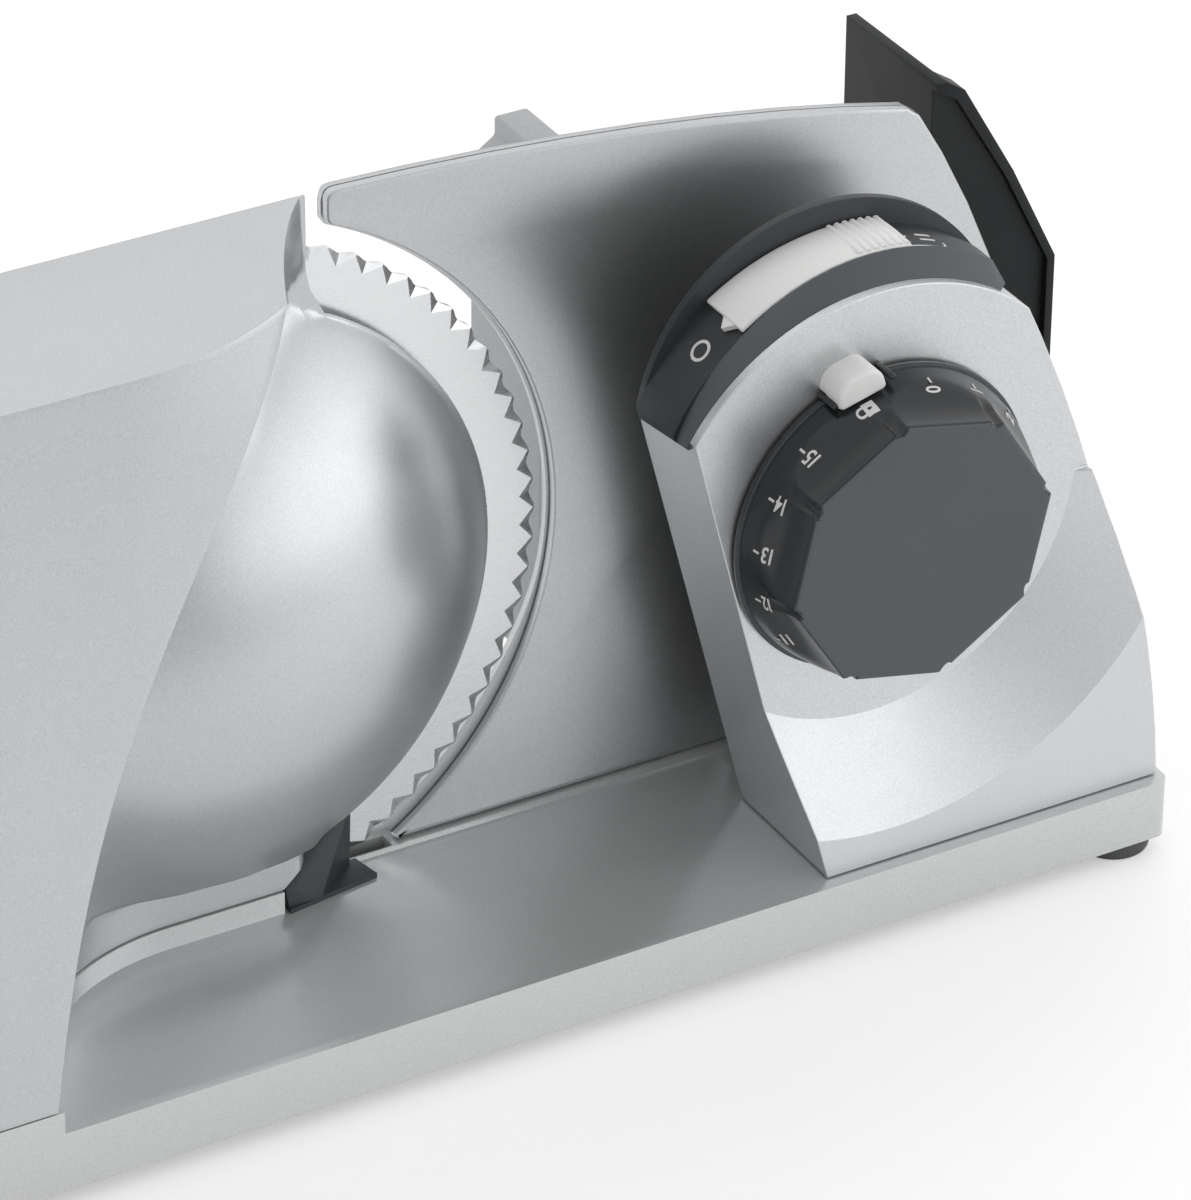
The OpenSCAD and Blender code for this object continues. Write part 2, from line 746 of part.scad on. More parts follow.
module switch_drum() {
    color("dimgray") difference() {
        intersection() {
            union() {
                hull() {
                    rod_y(dial_x, dial_z, face_y + wall, face_y + wall + 0.2, arch_r);
                    rod_y(drum_x + 0.4, drum_z + 4.6, groove_front - 0.2, groove_front, band_r);
                }
                rod_y(drum_x, drum_z, groove_front, groove_back, groove_r);
                rod_y(drum_x - 2.6, drum_z + 16.3, groove_back, drum_rear_y, flange_r);
            }
            drum_room(face_y + wall, drum_rear_y);
        }
        rod_y(drum_x, drum_z, face_y + wall + 2, drum_rear_y - drum_wall, groove_r - drum_wall);
        arc_y(drum_x, drum_z, groove_r - drum_wall - 1, groove_r + 1, (groove_front + groove_back) / 2 - slider_peg_r - pass_gap,
            (groove_front + groove_back) / 2 + slider_peg_r + pass_gap, peg_angle - slider_turn - 4, peg_angle + 4);
    }
}

module switch_slider() {
    grips = 7;
    color("white") {
        arc_y(drum_x, drum_z, groove_r + pass_gap, slider_r, groove_front + pass_gap, groove_back - pass_gap,
            slider_angles[0], slider_angles[1]);
        for (i = [0:grips - 1])
            arc_y(drum_x, drum_z, slider_r - 0.4, slider_r + 0.5, groove_front + pass_gap, groove_back - pass_gap,
                slider_angles[0] + 0.6 + 2 * i, slider_angles[0] + 1.8 + 2 * i);
        translate([drum_x, (groove_front + groove_back) / 2, drum_z]) rotate([0, 90 - peg_angle, 0])
            translate([0, 0, groove_r - drum_wall - 4]) cylinder(h = drum_wall + 5, r = slider_peg_r);
    }
}

switch_box = [20, 9, 10];

module micro_switch() {
    low = [drum_x - switch_box[0] / 2, (groove_front + groove_back - switch_box[1]) / 2, drum_z + 28];
    color("black") {
        block(low, low + switch_box);
        block([low[0] + 2, low[1] + switch_box[1], low[2] + 2],
            [low[0] + switch_box[0] - 2, drum_rear_y - drum_wall, low[2] + 4]);
    }
}

module index_pointer() {
    r = dial_r + 2.8;
    color("white") intersection() {
        hull() {
            for (a = [pointer_angle - 7, pointer_angle + 7])
                rod_y(dial_x + r * cos(a), dial_z + r * sin(a), face_y - 5.2, face_y, 3.2);
            rod_y(dial_x + r * cos(pointer_angle), dial_z + r * sin(pointer_angle), face_y - 5.2, face_y, 3.6);
            for (a = [pointer_angle - 10, pointer_angle + 10])
                rod_y(dial_x + (dial_r - 1) * cos(a), dial_z + (dial_r - 1) * sin(a), face_y - 5.2, face_y, 1.5);
        }
        tube_y(dial_x, dial_z, face_y - 8, face_y, big, dial_r + pass_gap);
    }
}

module dial_ring() {
    color("dimgray") difference() {
        union() {
            cone_y(dial_x, dial_z, ring_front, ring_back - 2, dial_r - 2.4, dial_r - 0.8);
            rod_y(dial_x, dial_z, ring_back - 2, ring_back, dial_r);
        }
        rod_y(dial_x, dial_z, ring_front - 1, ring_back + 1, shaft_r);
    }
}

module dial_knob() {
    color("dimgray") difference() {
        translate([dial_x, ring_front, dial_z]) rotate([90, -10, 0]) cylinder(h = knob_l, r = knob_r, $fn = 8);
        rod_y(dial_x, dial_z, ring_front - knob_l + 2, ring_front + 1, shaft_r);
    }
}

module dial_shaft() {
    color("gray") rod_y(dial_x, dial_z, ring_front - knob_l + 2, dial_rear_y, shaft_r);
}

module dial_bush() {
    color("goldenrod") tube_y(dial_x, dial_z, face_y, face_y + wall, dial_bush_r, shaft_r + run_fit);
}

// Cross-section of the cam's ramp at the angle a: it falls by the lead as the dial turns under the follower
function ramp_section(a) =
    let (
        reach = asin(follower_r / follower_at) + 1,
        top = follower_tip - cam_lead * (follower_angle - a + reach) - pass_gap / 2,
        foot = cam_front + 0.5
    )
    [for (p = [[ramp_in, foot], [ramp_out, foot], [ramp_out, top], [ramp_in, top]])
        [p[0] * cos(a), p[1], p[0] * sin(a)]];

module dial_cam() {
    first = follower_angle - dial_turn - 12;
    sweep = dial_turn + 19;
    points = [for (i = [0:ramp_parts]) each ramp_section(first + sweep * i / ramp_parts)];
    walls = [for (i = [0:ramp_parts - 1], k = [0:3])
        let (p = 4 * i + k, q = 4 * i + (k + 1) % 4)
        each [[p, p + 4, q], [q, p + 4, q + 4]]];
    last = 4 * ramp_parts;
    caps = [[0, 1, 2], [0, 2, 3], [last, last + 2, last + 1], [last, last + 3, last + 2]];
    color("gainsboro") difference() {
        union() {
            rod_y(dial_x, dial_z, cam_front, cam_floor - 0.6, cam_r);
            rod_y(dial_x, dial_z, cam_front, follower_tip - 2, cam_hub_r);
            translate([dial_x, 0, dial_z]) polyhedron(points, concat(walls, caps));
        }
        rod_y(dial_x, dial_z, cam_front - 1, follower_tip, shaft_r);
    }
}

// Stop plate

module stop_plate() {
    top = curve([blade_x + 35.7, stop_h], [-97, stop_h - 1.7], [-36.8, stop_h - 16.6], 8);
    slant = [[-33.6, stop_h - 18.9], [-27.3, stop_h - 29.6], [-20.2, stop_h - 43.8], [-12.7, stop_h - 61.5],
        [-7, stop_h - 79.2], [-5, stop_h - 97.2]];
    color("silver") difference() {
        along_y(stop_front, stop_back)
            polygon(concat([[blade_x + 35.7, stop_bottom]], top, slant, [[-5, stop_bottom]]));
        rod_y(blade_x, blade_z, stop_front - 1, stop_back + 1, stop_cut_r);
    }
}

module stop_bracket() {
    low = guide_z - guide_bush_r - 2;
    color("lightgray") difference() {
        union() {
            block([guide_xs[0] - 7, stop_bracket_front, low], [guide_xs[1] + 7, stop_front, guide_z + 8]);
            block([dial_x - 7, stop_bracket_front, low], [dial_x + 7, stop_front, dial_z - follower_at + 6]);
        }
        for (x = guide_xs) rod_y(x, guide_z, stop_bracket_front - 1, stop_front + 1, guide_pin_r);
        rod_y(dial_x + follower_at * cos(follower_angle), dial_z + follower_at * sin(follower_angle),
            stop_bracket_front - 1, stop_front + 1, follower_r);
    }
}

module follower_pin() {
    color("gray") rod_y(dial_x + follower_at * cos(follower_angle), dial_z + follower_at * sin(follower_angle),
        follower_tip, stop_front, follower_r);
}

module guide_pins() {
    color("gray") for (x = guide_xs) {
        rod_y(x, guide_z, guide_front, stop_front, guide_pin_r);
        rod_y(x, guide_z, guide_front, guide_front + guide_head_t, guide_head_r);
    }
}

module guide_bushes() {
    color("goldenrod") for (x = guide_xs)
        tube_y(x, guide_z, guide_bush_front, dial_rear_y, guide_bush_r, guide_pin_r + run_fit);
}

// One ring of the spring's wire at the turn t
function spring_ring(t, l, sides) =
    let (a = 360 * spring_turns * t)
    [for (s = [0:sides - 1])
        let (b = 360 * s / sides, r = spring_r + spring_wire_r * cos(b))
        [r * cos(a), l * t + spring_wire_r * sin(b), r * sin(a)]];

module spring(x, y0, y1, z) {
    sides = 6;
    rings = 12 * spring_turns;
    l = y1 - y0 - 2 * spring_wire_r;
    points = [for (i = [0:rings]) each spring_ring(i / rings, l, sides)];
    walls = [for (i = [0:rings - 1], s = [0:sides - 1])
        let (p = i * sides + s, q = i * sides + (s + 1) % sides)
        each [[p, p + sides, q], [q, p + sides, q + sides]]];
    start_cap = [for (s = [1:sides - 2]) [0, s, s + 1]];
    end_cap = [for (s = [1:sides - 2]) [rings * sides, rings * sides + s + 1, rings * sides + s]];
    translate([x, y0 + spring_wire_r, z]) polyhedron(points, concat(walls, start_cap, end_cap));
}

module return_springs() {
    color("gray") for (x = guide_xs) spring(x, guide_front + guide_head_t, guide_bush_front, guide_z);
}

// Carriage rail and carriage

module guide_rod() {
    color("gray") rod_x(left_x + 2, -2, rod_y_pos, rod_z_pos, rod_r);
}

module rod_brackets() {
    color("dimgray") for (x = [left_x + 1, -1 - bracket_w])
        difference() {
            block([x, rod_y_pos - bracket_d / 2, rear_deck_h], [x + bracket_w, rod_y_pos + bracket_d / 2, bracket_top]);
            rod_x(x - 1, x + bracket_w + 1, rod_y_pos, rod_z_pos, rod_r);
        }
}

module runner_sleeve() {
    color("gainsboro") difference() {
        union() {
            rod_x(sleeve_ends[0], sleeve_ends[1], rod_y_pos, rod_z_pos, sleeve_r);
            rod_x(sleeve_ends[0], sleeve_ends[0] + collar_t, rod_y_pos, rod_z_pos, collar_r);
            rod_x(sleeve_ends[1] - collar_t, sleeve_ends[1], rod_y_pos, rod_z_pos, collar_r);
        }
        rod_x(sleeve_ends[0] - 1, sleeve_ends[1] + 1, rod_y_pos, rod_z_pos, rod_r + run_fit);
    }
}

carriage_screw_spots = [[end_wall_x - end_wall_t - 6, 60], [end_wall_x - end_wall_t - 6, 110]];

// Width and height of the plate's slanting upper corner
corner_cut = [26, 16];

module carriage_plate() {
    plate_right = end_wall_x - end_wall_t;
    color("lightgray") difference() {
        union() {
            along_y(carriage_front, carriage_back) polygon([
                [carriage_left, leg_bottom], [plate_right, leg_bottom], [plate_right, carriage_h - 2 - corner_cut[1]],
                [plate_right - corner_cut[0], carriage_h - 2], [carriage_left, carriage_h - 2]]);
            for (x = lug_xs) {
                rod_x(x, x + lug_w, rod_y_pos, rod_z_pos, lug_r);
                block([x, carriage_front, carriage_bottom], [x + lug_w, carriage_back, leg_bottom]);
            }
            for (i = [1:3])
                block([carriage_left + leg_w, carriage_back, leg_bottom + 30 * i],
                    [plate_right - tab_w - 1, carriage_back + 5, leg_bottom + 30 * i + rib_t]);
        }
        for (x = lug_xs)
            rod_x(x - 1, x + lug_w + 1, rod_y_pos, rod_z_pos, sleeve_r + run_fit);
        for (p = carriage_screw_spots)
            rod_y(p[0], p[1], carriage_front - 1, carriage_back + 1, screw_r);
    }
}

module carriage_leg() {
    rib_left = carriage_left + leg_inset;
    shoulder = carriage_h - 8.5;
    color("lightgray") along_y(carriage_back, leg_end) polygon([
        [carriage_left, leg_bottom], [carriage_left + leg_w, leg_bottom], [carriage_left + leg_w, carriage_h],
        [rib_left, carriage_h], [rib_left, shoulder + 4], [carriage_left, shoulder]]);
}

// Slanting edge of the carriage's dark end, drawn in by inset
function end_edge(inset) = [
    [end_wall_x - inset, carriage_h + 2.2 - inset], [-17.3 - inset, carriage_h - 0.9 - inset],
    [-3.7 - inset, carriage_h - 24.3 - inset / 2], [carriage_right - inset, carriage_h - 49 - inset / 4],
    [carriage_right - inset, leg_bottom]];

module carriage_end() {
    wall_left = end_wall_x - end_wall_t;
    color("dimgray") difference() {
        union() {
            along_y(carriage_front, carriage_back) polygon(concat([[wall_left, leg_bottom], [wall_left, 150.2]], end_edge(0)));
            along_y(carriage_front - lip_h, carriage_front) difference() {
                polygon(concat([[wall_left, leg_bottom + 40], [wall_left, 150.2]], end_edge(0)));
                polygon(concat([[wall_left - 1, leg_bottom - 1], [wall_left - 1, 150.2 - lip_t]], end_edge(lip_t)));
                translate([wall_left - 1, 0]) square([big, leg_bottom + 40]);
            }
            block([wall_left, carriage_back, leg_bottom], [end_wall_x, leg_end, 150.2]);
            block([wall_left - tab_w, carriage_back, 50], [wall_left, carriage_back + tab_t, 120]);
        }
        for (p = carriage_screw_spots)
            rod_y(p[0], p[1], carriage_back - 1, carriage_back + 4, screw_r);
    }
}

module carriage_screws() {
    color("gray") for (p = carriage_screw_spots)
        translate([0, 2 * (carriage_back + tab_t), 0]) mirror([0, 1, 0])
            screw_y(p[0], p[1], carriage_back + tab_t - screw_head_h, carriage_t + tab_t - 1);
}

placed() base_tray();
placed() base_cover();
placed() rubber_feet();
placed() base_screws();
placed() cord_gland();
placed() motor_housing();
placed() gearbox_plate();
placed() housing_screws();
placed() slice_deflector();
placed() motor_stator();
placed() motor_brackets();
placed() motor_posts();
placed() motor_bushes();
placed() motor_rotor();
placed() motor_shaft();
placed() motor_pinion();
placed() idler_axle();
placed() idler_gear();
placed() spindle_bush();
placed() blade_spindle();
placed() blade_gear();
placed() blade();
placed() blade_screws();
placed() dial_housing();
placed() dial_housing_back();
placed() back_screws();
placed() switch_drum();
placed() switch_slider();
placed() micro_switch();
placed() index_pointer();
placed() dial_ring();
placed() dial_knob();
placed() dial_shaft();
placed() dial_bush();
placed() dial_cam();
placed() stop_plate();
placed() stop_bracket();
placed() follower_pin();
placed() guide_pins();
placed() guide_bushes();
placed() return_springs();
placed() guide_rod();
placed() rod_brackets();
placed() runner_sleeve();
placed() carriage_plate();
placed() carriage_leg();
placed() carriage_end();
placed() carriage_screws();
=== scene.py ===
"""Looks of the folding food slicer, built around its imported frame."""

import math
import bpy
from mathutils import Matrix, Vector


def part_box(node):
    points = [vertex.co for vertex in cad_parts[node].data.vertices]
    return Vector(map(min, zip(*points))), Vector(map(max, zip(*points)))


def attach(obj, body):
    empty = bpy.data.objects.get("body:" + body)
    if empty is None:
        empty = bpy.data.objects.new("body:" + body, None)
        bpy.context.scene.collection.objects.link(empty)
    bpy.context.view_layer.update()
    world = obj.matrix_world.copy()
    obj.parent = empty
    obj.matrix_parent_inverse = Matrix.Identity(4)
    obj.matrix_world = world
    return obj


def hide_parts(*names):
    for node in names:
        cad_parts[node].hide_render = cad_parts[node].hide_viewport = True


bl_info = {
    "name": "Folding food slicer",
    "version": (1, 0, 0),
    "blender": (4, 5, 0),
    "location": "3D View > Sidebar > Slicer",
    "description": "Builds the shells, blade, dial, switch and carriage of a folding food slicer",
    "category": "Add Mesh",
}

import bmesh
import bpy
import numpy as np
from bpy.props import FloatProperty, FloatVectorProperty, IntProperty, PointerProperty
from mathutils import Matrix, Vector

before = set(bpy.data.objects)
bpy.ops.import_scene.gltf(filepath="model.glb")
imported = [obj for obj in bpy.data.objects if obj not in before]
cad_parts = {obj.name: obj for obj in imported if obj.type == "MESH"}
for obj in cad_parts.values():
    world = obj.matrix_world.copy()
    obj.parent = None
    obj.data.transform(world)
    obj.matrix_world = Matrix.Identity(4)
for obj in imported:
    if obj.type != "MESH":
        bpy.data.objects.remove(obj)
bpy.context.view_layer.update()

# Places below are in millimetres from the base's front right corner, at the height of the slice tray:
# x runs right, y runs back and z runs up.
MM = 0.001
CORNER = Vector((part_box("base_tray")[1].x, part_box("base_tray")[0].y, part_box("dial_housing")[0].z))

BASE_LEFT = -340.0
DECK_TOP = 5.4
HOUSE_TOP = 169.5
HOUSE_REAR = 59.0
BLADE_AXIS = (-214.5, 77.0)
DIAL_AXIS = (-71.4, 83.6)
DRUM_AXIS = (-69.8, 86.5)
DRUM_FLOOR = 54.5

# Corners closer than this, in metres, are one corner
SAME_SPOT = 2e-6


# Settings

def length(name, description, default, low, high):
    """A length setting, from values in millimetres."""
    return FloatProperty(
        name=name, description=description, default=default * MM, min=low * MM, max=high * MM, precision=5,
        unit="LENGTH", subtype="DISTANCE")


def colour(name, description, default):
    return FloatVectorProperty(
        name=name, description=description, default=default, size=3, min=0, max=1, subtype="COLOR")


class SlicerSizes(bpy.types.PropertyGroup):
    """Sizes of the visible pieces that a user would change."""

    edge_round: length("Edge round", "Radius on the edges of the moulded shells", 0.9, 0.1, 2)
    shell_wall: length("Shell wall", "Wall thickness of the motor housing", 2.2, 1, 4)
    dome_blend: length("Dome blend", "How softly the gear dome runs into the sail-shaped front", 14, 1, 30)
    blade_teeth: IntProperty(
        name="Blade teeth", description="Scallops round the blade", default=72, min=20, max=120)
    tooth_depth: length("Tooth depth", "Depth of the scallops in the cutting edge", 0.9, 0.3, 3)
    mark_height: length("Mark height", "Height of the numbers on the thickness dial", 3.8, 2, 6)
    seam: length("Seam", "Height of the shadow line between the housings and the base", 0.4, 0, 1)
    grip_ribs: IntProperty(
        name="Grip ribs", description="Ribs on the thumb end of the switch slider", default=7, min=2, max=12)


class SlicerColours(bpy.types.PropertyGroup):
    """Colours of the finishes."""

    silver: colour("Silver paint", "Paint on the shells and the stop plate", (0.57, 0.58, 0.59))
    tray: colour("Tray grey", "Satin grey of the base", (0.66, 0.67, 0.675))
    dark: colour("Dark grey", "Anthracite plastic of the dial, switch drum and carriage end", (0.034, 0.038, 0.042))
    white: colour("White", "White plastic of the switch slider and the dial pointer", (0.92, 0.92, 0.91))
    light: colour("Light grey", "Light grey plastic of the carriage", (0.50, 0.51, 0.52))
    steel: colour("Stainless steel", "Blade and rail", (0.78, 0.79, 0.80))


class SlicerStage(bpy.types.PropertyGroup):
    """Floor and light."""

    floor_white: FloatProperty(
        name="Floor white", description="Brightness of the floor's colour", default=0.8, min=0, max=1, subtype="FACTOR")
    floor_lift: FloatProperty(
        name="Floor lift", description="How far the floor is lifted to white where it is seen",
        default=0.4, min=0, max=1)
    sky: FloatProperty(
        name="Soft light", description="Strength of the soft light from all round", default=0.85, min=0, max=3)
    bright: FloatProperty(
        name="Bright side", description="How much brighter gloss shows the front right", default=1.05, min=0, max=3)
    key: FloatProperty(
        name="Front light", description="Power of the large soft lamp at the front right",
        default=1.5, min=0, max=200, unit="POWER")


# Meshes

class Editing:
    """A mesh that is open for editing inside a with block and written back at its end."""

    def __init__(self, mesh):
        self.mesh = mesh

    def __enter__(self):
        self.shape = bmesh.new()
        self.shape.from_mesh(self.mesh)
        return self.shape

    def __exit__(self, *error):
        self.shape.to_mesh(self.mesh)
        self.shape.free()


def at(x, y, z):
    """A place in the slicer's own millimetres, as a place in the frame."""
    return CORNER + Vector((x, y, z)) * MM


def around(axis, radius, angle, y):
    """The place (x, y, z) at a radius and an angle round an axis along y."""
    return axis[0] + radius * math.cos(angle), y, axis[1] + radius * math.sin(angle)


def linked(name, data):
    piece = bpy.data.objects.new(name, data)
    bpy.context.scene.collection.objects.link(piece)
    return piece


def clean(mesh):
    """Merges doubles and points the faces outwards."""
    with Editing(mesh) as shape:
        bmesh.ops.remove_doubles(shape, verts=shape.verts, dist=1e-6)
        bmesh.ops.recalc_face_normals(shape, faces=shape.faces)


def mesh_piece(name, points, faces):
    """A closed piece from places in millimetres and its faces."""
    mesh = bpy.data.meshes.new(name)
    mesh.from_pydata([at(*p) for p in points], [], faces)
    clean(mesh)
    return linked(name, mesh)


def settle(piece):
    """Turns a piece's modifiers into its plain mesh."""
    graph = bpy.context.evaluated_depsgraph_get()
    mesh = bpy.data.meshes.new_from_object(piece.evaluated_get(graph))
    piece.modifiers.clear()
    old, piece.data = piece.data, mesh
    bpy.data.meshes.remove(old)
    return piece


def round_edges(piece, radius, segments=3, sharper_than=32):
    """Rounds the edges that are sharper than an angle in degrees."""
    rounding = piece.modifiers.new("Rounding", "BEVEL")
    rounding.width = radius
    rounding.segments = segments
    rounding.limit_method = "ANGLE"
    rounding.angle_limit = math.radians(sharper_than)
    rounding.use_clamp_overlap = True
    settle(piece)


def smooth(piece, sharper_than=40):
    piece.data.shade_smooth()
    piece.data.set_sharp_from_angle(angle=math.radians(sharper_than))


def copy_of(node, name):
    """A merged copy of a CAD node, its flat faces in one piece."""
    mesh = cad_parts[node].data.copy()
    mesh.name = name
    with Editing(mesh) as shape:
        bmesh.ops.remove_doubles(shape, verts=shape.verts, dist=SAME_SPOT)
        bmesh.ops.dissolve_limit(
            shape, angle_limit=math.radians(0.3), use_dissolve_boundaries=False,
            verts=shape.verts, edges=shape.edges, delimit={"NORMAL"})
    mesh.materials.clear()
    return linked(name, mesh)


def place(piece, look, body, nodes):
    """Gives a finished piece its material and the body it rides on, and hides the CAD nodes it stands for."""
    piece.data.materials.clear()
    piece.data.materials.append(finish(look))
    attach(piece, body)
    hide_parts(*nodes)


def softened(node, name, look, body, radius):
    """A CAD node with its edges rounded by some millimetres, in place of the sharp one."""
    piece = copy_of(node, name)
    round_edges(piece, radius * MM)
    smooth(piece)
    place(piece, look, body, [node])


def grid_faces(rows, columns, first=0, closed=False):
    """Faces between the points of a grid that is stored row by row."""
    faces = []
    last = columns if closed else columns - 1
    for r in range(rows - 1):
        for c in range(last):
            a = first + r * columns + c
            b = first + r * columns + (c + 1) % columns
            faces.append((a, b, b + columns, a + columns))
    return faces


def grid_rim(rows, columns):
    """The outer points of such a grid, in order round it."""
    rim = list(range(columns)) + [r * columns + columns - 1 for r in range(1, rows)]
    rim += [(rows - 1) * columns + c for c in range(columns - 2, -1, -1)]
    return rim + [r * columns for r in range(rows - 2, 0, -1)]


def layered(name, layers):
    """A closed piece through outlines of equal length, each a list of (x, y, z), capped at both ends."""
    count = len(layers[0])
    points = [p for layer in layers for p in layer]
    faces = grid_faces(len(layers), count, closed=True)
    faces.append(tuple(range(count)))
    faces.append(tuple(range((len(layers) - 1) * count, len(layers) * count)))
    return mesh_piece(name, points, faces)


def corners_of(outline):
    """Each corner of a closed outline, between the one before it and the one after it."""
    spots = [Vector(spot) for spot in outline]
    return zip(spots[-1:] + spots[:-1], spots, spots[1:] + spots[:1])


def drawn_in(outline, inset):
    """A flat outline moved inwards by a small distance; the outline runs counter-clockwise."""
    moved = []
    for a, b, c in corners_of(outline):
        before, after = (b - a).normalized(), (c - b).normalized()
        normal = Vector((-before.y, before.x)) + Vector((-after.y, after.x))
        normal.normalize()
        spread = max(0.35, normal.dot(Vector((-after.y, after.x))))
        moved.append(tuple(b + normal * (inset / spread)))
    return moved


def with_round_corners(outline, radius, sharper_than=40, steps=6):
    """An outline whose sharp corners are replaced by arcs."""
    rounded = []
    for a, b, c in corners_of(outline):
        before, after = (a - b), (c - b)
        turn = math.pi - before.angle(after)
        if math.degrees(turn) < sharper_than:
            rounded.append(tuple(b))
            continue
        reach = min(radius * math.tan(turn / 2), 0.45 * before.length, 0.45 * after.length)
        start, end = b + before.normalized() * reach, b + after.normalized() * reach
        for t in (i / steps for i in range(steps + 1)):
            rounded.append(tuple(start * (1 - t) ** 2 + b * 2 * t * (1 - t) + end * t * t))
    return rounded


def node_shape(node):
    """A CAD node's mesh with its doubles merged, opened for reading."""
    shape = bmesh.new()
    shape.from_mesh(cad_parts[node].data)
    bmesh.ops.remove_doubles(shape, verts=shape.verts, dist=SAME_SPOT)
    return shape


def solids_of(node):
    """The corner points of each separate solid of a CAD node, in metres."""
    shape = node_shape(node)
    left, solids = set(shape.verts), []
    while left:
        reached, waiting = [], [left.pop()]
        while waiting:
            corner = waiting.pop()
            reached.append(tuple(corner.co))
            for edge in corner.link_edges:
                other = edge.other_vert(corner)
                if other in left:
                    left.remove(other)
                    waiting.append(other)
        solids.append(np.array(reached))
    shape.free()
    return solids


def front_outline(node):
    """The outline of a CAD node's front face as (x, z) points in millimetres, counter-clockwise."""
    shape = node_shape(node)
    front = min(corner.co.y for corner in shape.verts)
    faces = [face for face in shape.faces if all(abs(corner.co.y - front) < 1e-6 for corner in face.verts)]
    rim = [edge for face in faces for edge in face.edges if sum(other in faces for other in edge.link_faces) == 1]
    follows = {}
    for edge in rim:
        for corner in edge.verts:
            follows.setdefault(corner, []).append(edge.other_vert(corner))
    start = rim[0].verts[0]
    loop, last, here = [start], start, follows[start][0]
    while here is not start:
        loop.append(here)
        ahead = [corner for corner in follows[here] if corner is not last]
        last, here = here, ahead[0]
    outline = [((corner.co.x - CORNER.x) / MM, (corner.co.z - CORNER.z) / MM) for corner in loop]
    shape.free()
    area = sum(a[0] * b[1] - b[0] * a[1] for a, b in zip(outline, outline[1:] + outline[:1]))
    return outline if area > 0 else outline[::-1]


def smooth_step(value):
    t = np.clip(value, 0.0, 1.0)
    return t * t * (3 - 2 * t)


def soft_min(a, b, k):
    """The smaller of two heights, with a fillet of about k where they meet."""
    h = np.maximum(k - np.abs(a - b), 0.0) / k
    return np.minimum(a, b) - h * h * k / 4


# Node trees

class Nodes:
    """Adds nodes to a tree."""

    def __init__(self, tree):
        self.tree = tree

    def fill(self, node, sockets):
        """Gives each named socket of a node its value, its link or its list of links."""
        for key, value in sockets.items():
            for one in value if isinstance(value, list) else [value]:
                if isinstance(one, bpy.types.NodeSocket):
                    self.tree.links.new(one, node.inputs[key])
                else:
                    node.inputs[key].default_value = one

    def add(self, kind, sockets, output=0, **settings):
        """Adds a node with its sockets and settings, and gives one of its outputs."""
        made = self.tree.nodes.new(kind)
        for key, value in settings.items():
            setattr(made, key, value)
        self.fill(made, sockets)
        return made.outputs[output]

    def math(self, operation, *values):
        return self.add("ShaderNodeMath", dict(enumerate(values)), operation=operation)

    def times(self, a, b):
        return self.math("MULTIPLY", a, b)

    def towards(self, spot, direction):
        """How far a place lies in a direction."""
        return self.add("ShaderNodeVectorMath", {0: spot, 1: direction}, "Value", operation="DOT_PRODUCT")

    def ramp(self, value, first, last, low=0.0, high=1.0, kind="SMOOTHSTEP"):
        """A number that runs from low to high while a value runs from first to last."""
        sockets = {"Value": value, "From Min": first, "From Max": last, "To Min": low, "To Max": high}
        return self.add("ShaderNodeMapRange", sockets, interpolation_type=kind)


class RowTree(Nodes):
    """A Geometry Nodes tree with named inputs."""

    def __init__(self, name, inputs):
        super().__init__(bpy.data.node_groups.new(name, "GeometryNodeTree"))
        self.tree.is_modifier = True
        self.inputs = {}
        for label, kind in inputs.items():
            socket = self.tree.interface.new_socket(label, in_out="INPUT", socket_type="NodeSocket" + kind)
            self.inputs[label] = socket.identifier
        self.tree.interface.new_socket("Geometry", in_out="OUTPUT", socket_type="NodeSocketGeometry")
        self.entry = self.tree.nodes.new("NodeGroupInput")

    def given(self, label):
        return self.entry.outputs[label]

    def vector(self, x, y, z):
        return self.add("ShaderNodeCombineXYZ", {0: x, 1: y, 2: z})

    def moved(self, shape, **change):
        """A shape that is moved, turned or scaled."""
        return self.add("GeometryNodeTransform", {"Geometry": shape, **change})

    def end(self, points, shape, turn):
        """Puts the shape on every point, turned, and ends the tree in plain geometry with its material."""
        spin = self.add("FunctionNodeEulerToRotation", {0: turn})
        row = self.add("GeometryNodeInstanceOnPoints", {"Points": points, "Instance": shape, "Rotation": spin})
        plain = self.add("GeometryNodeRealizeInstances", {"Geometry": row})
        made = self.add("GeometryNodeSetMaterial", {"Geometry": plain, "Material": self.given("Material")})
        self.tree.links.new(made, self.tree.nodes.new("NodeGroupOutput").inputs[0])

    def piece(self, name, values, points=()):
        """A plain mesh piece from the tree; points are the places of a row in metres."""
        mesh = bpy.data.meshes.new(name)
        mesh.from_pydata(list(points), [], [])
        made = linked(name, mesh)
        row = made.modifiers.new("Row", "NODES")
        row.node_group = self.tree
        for label, value in values.items():
            row[self.inputs[label]] = value
        return settle(made)


# Rows of like pieces

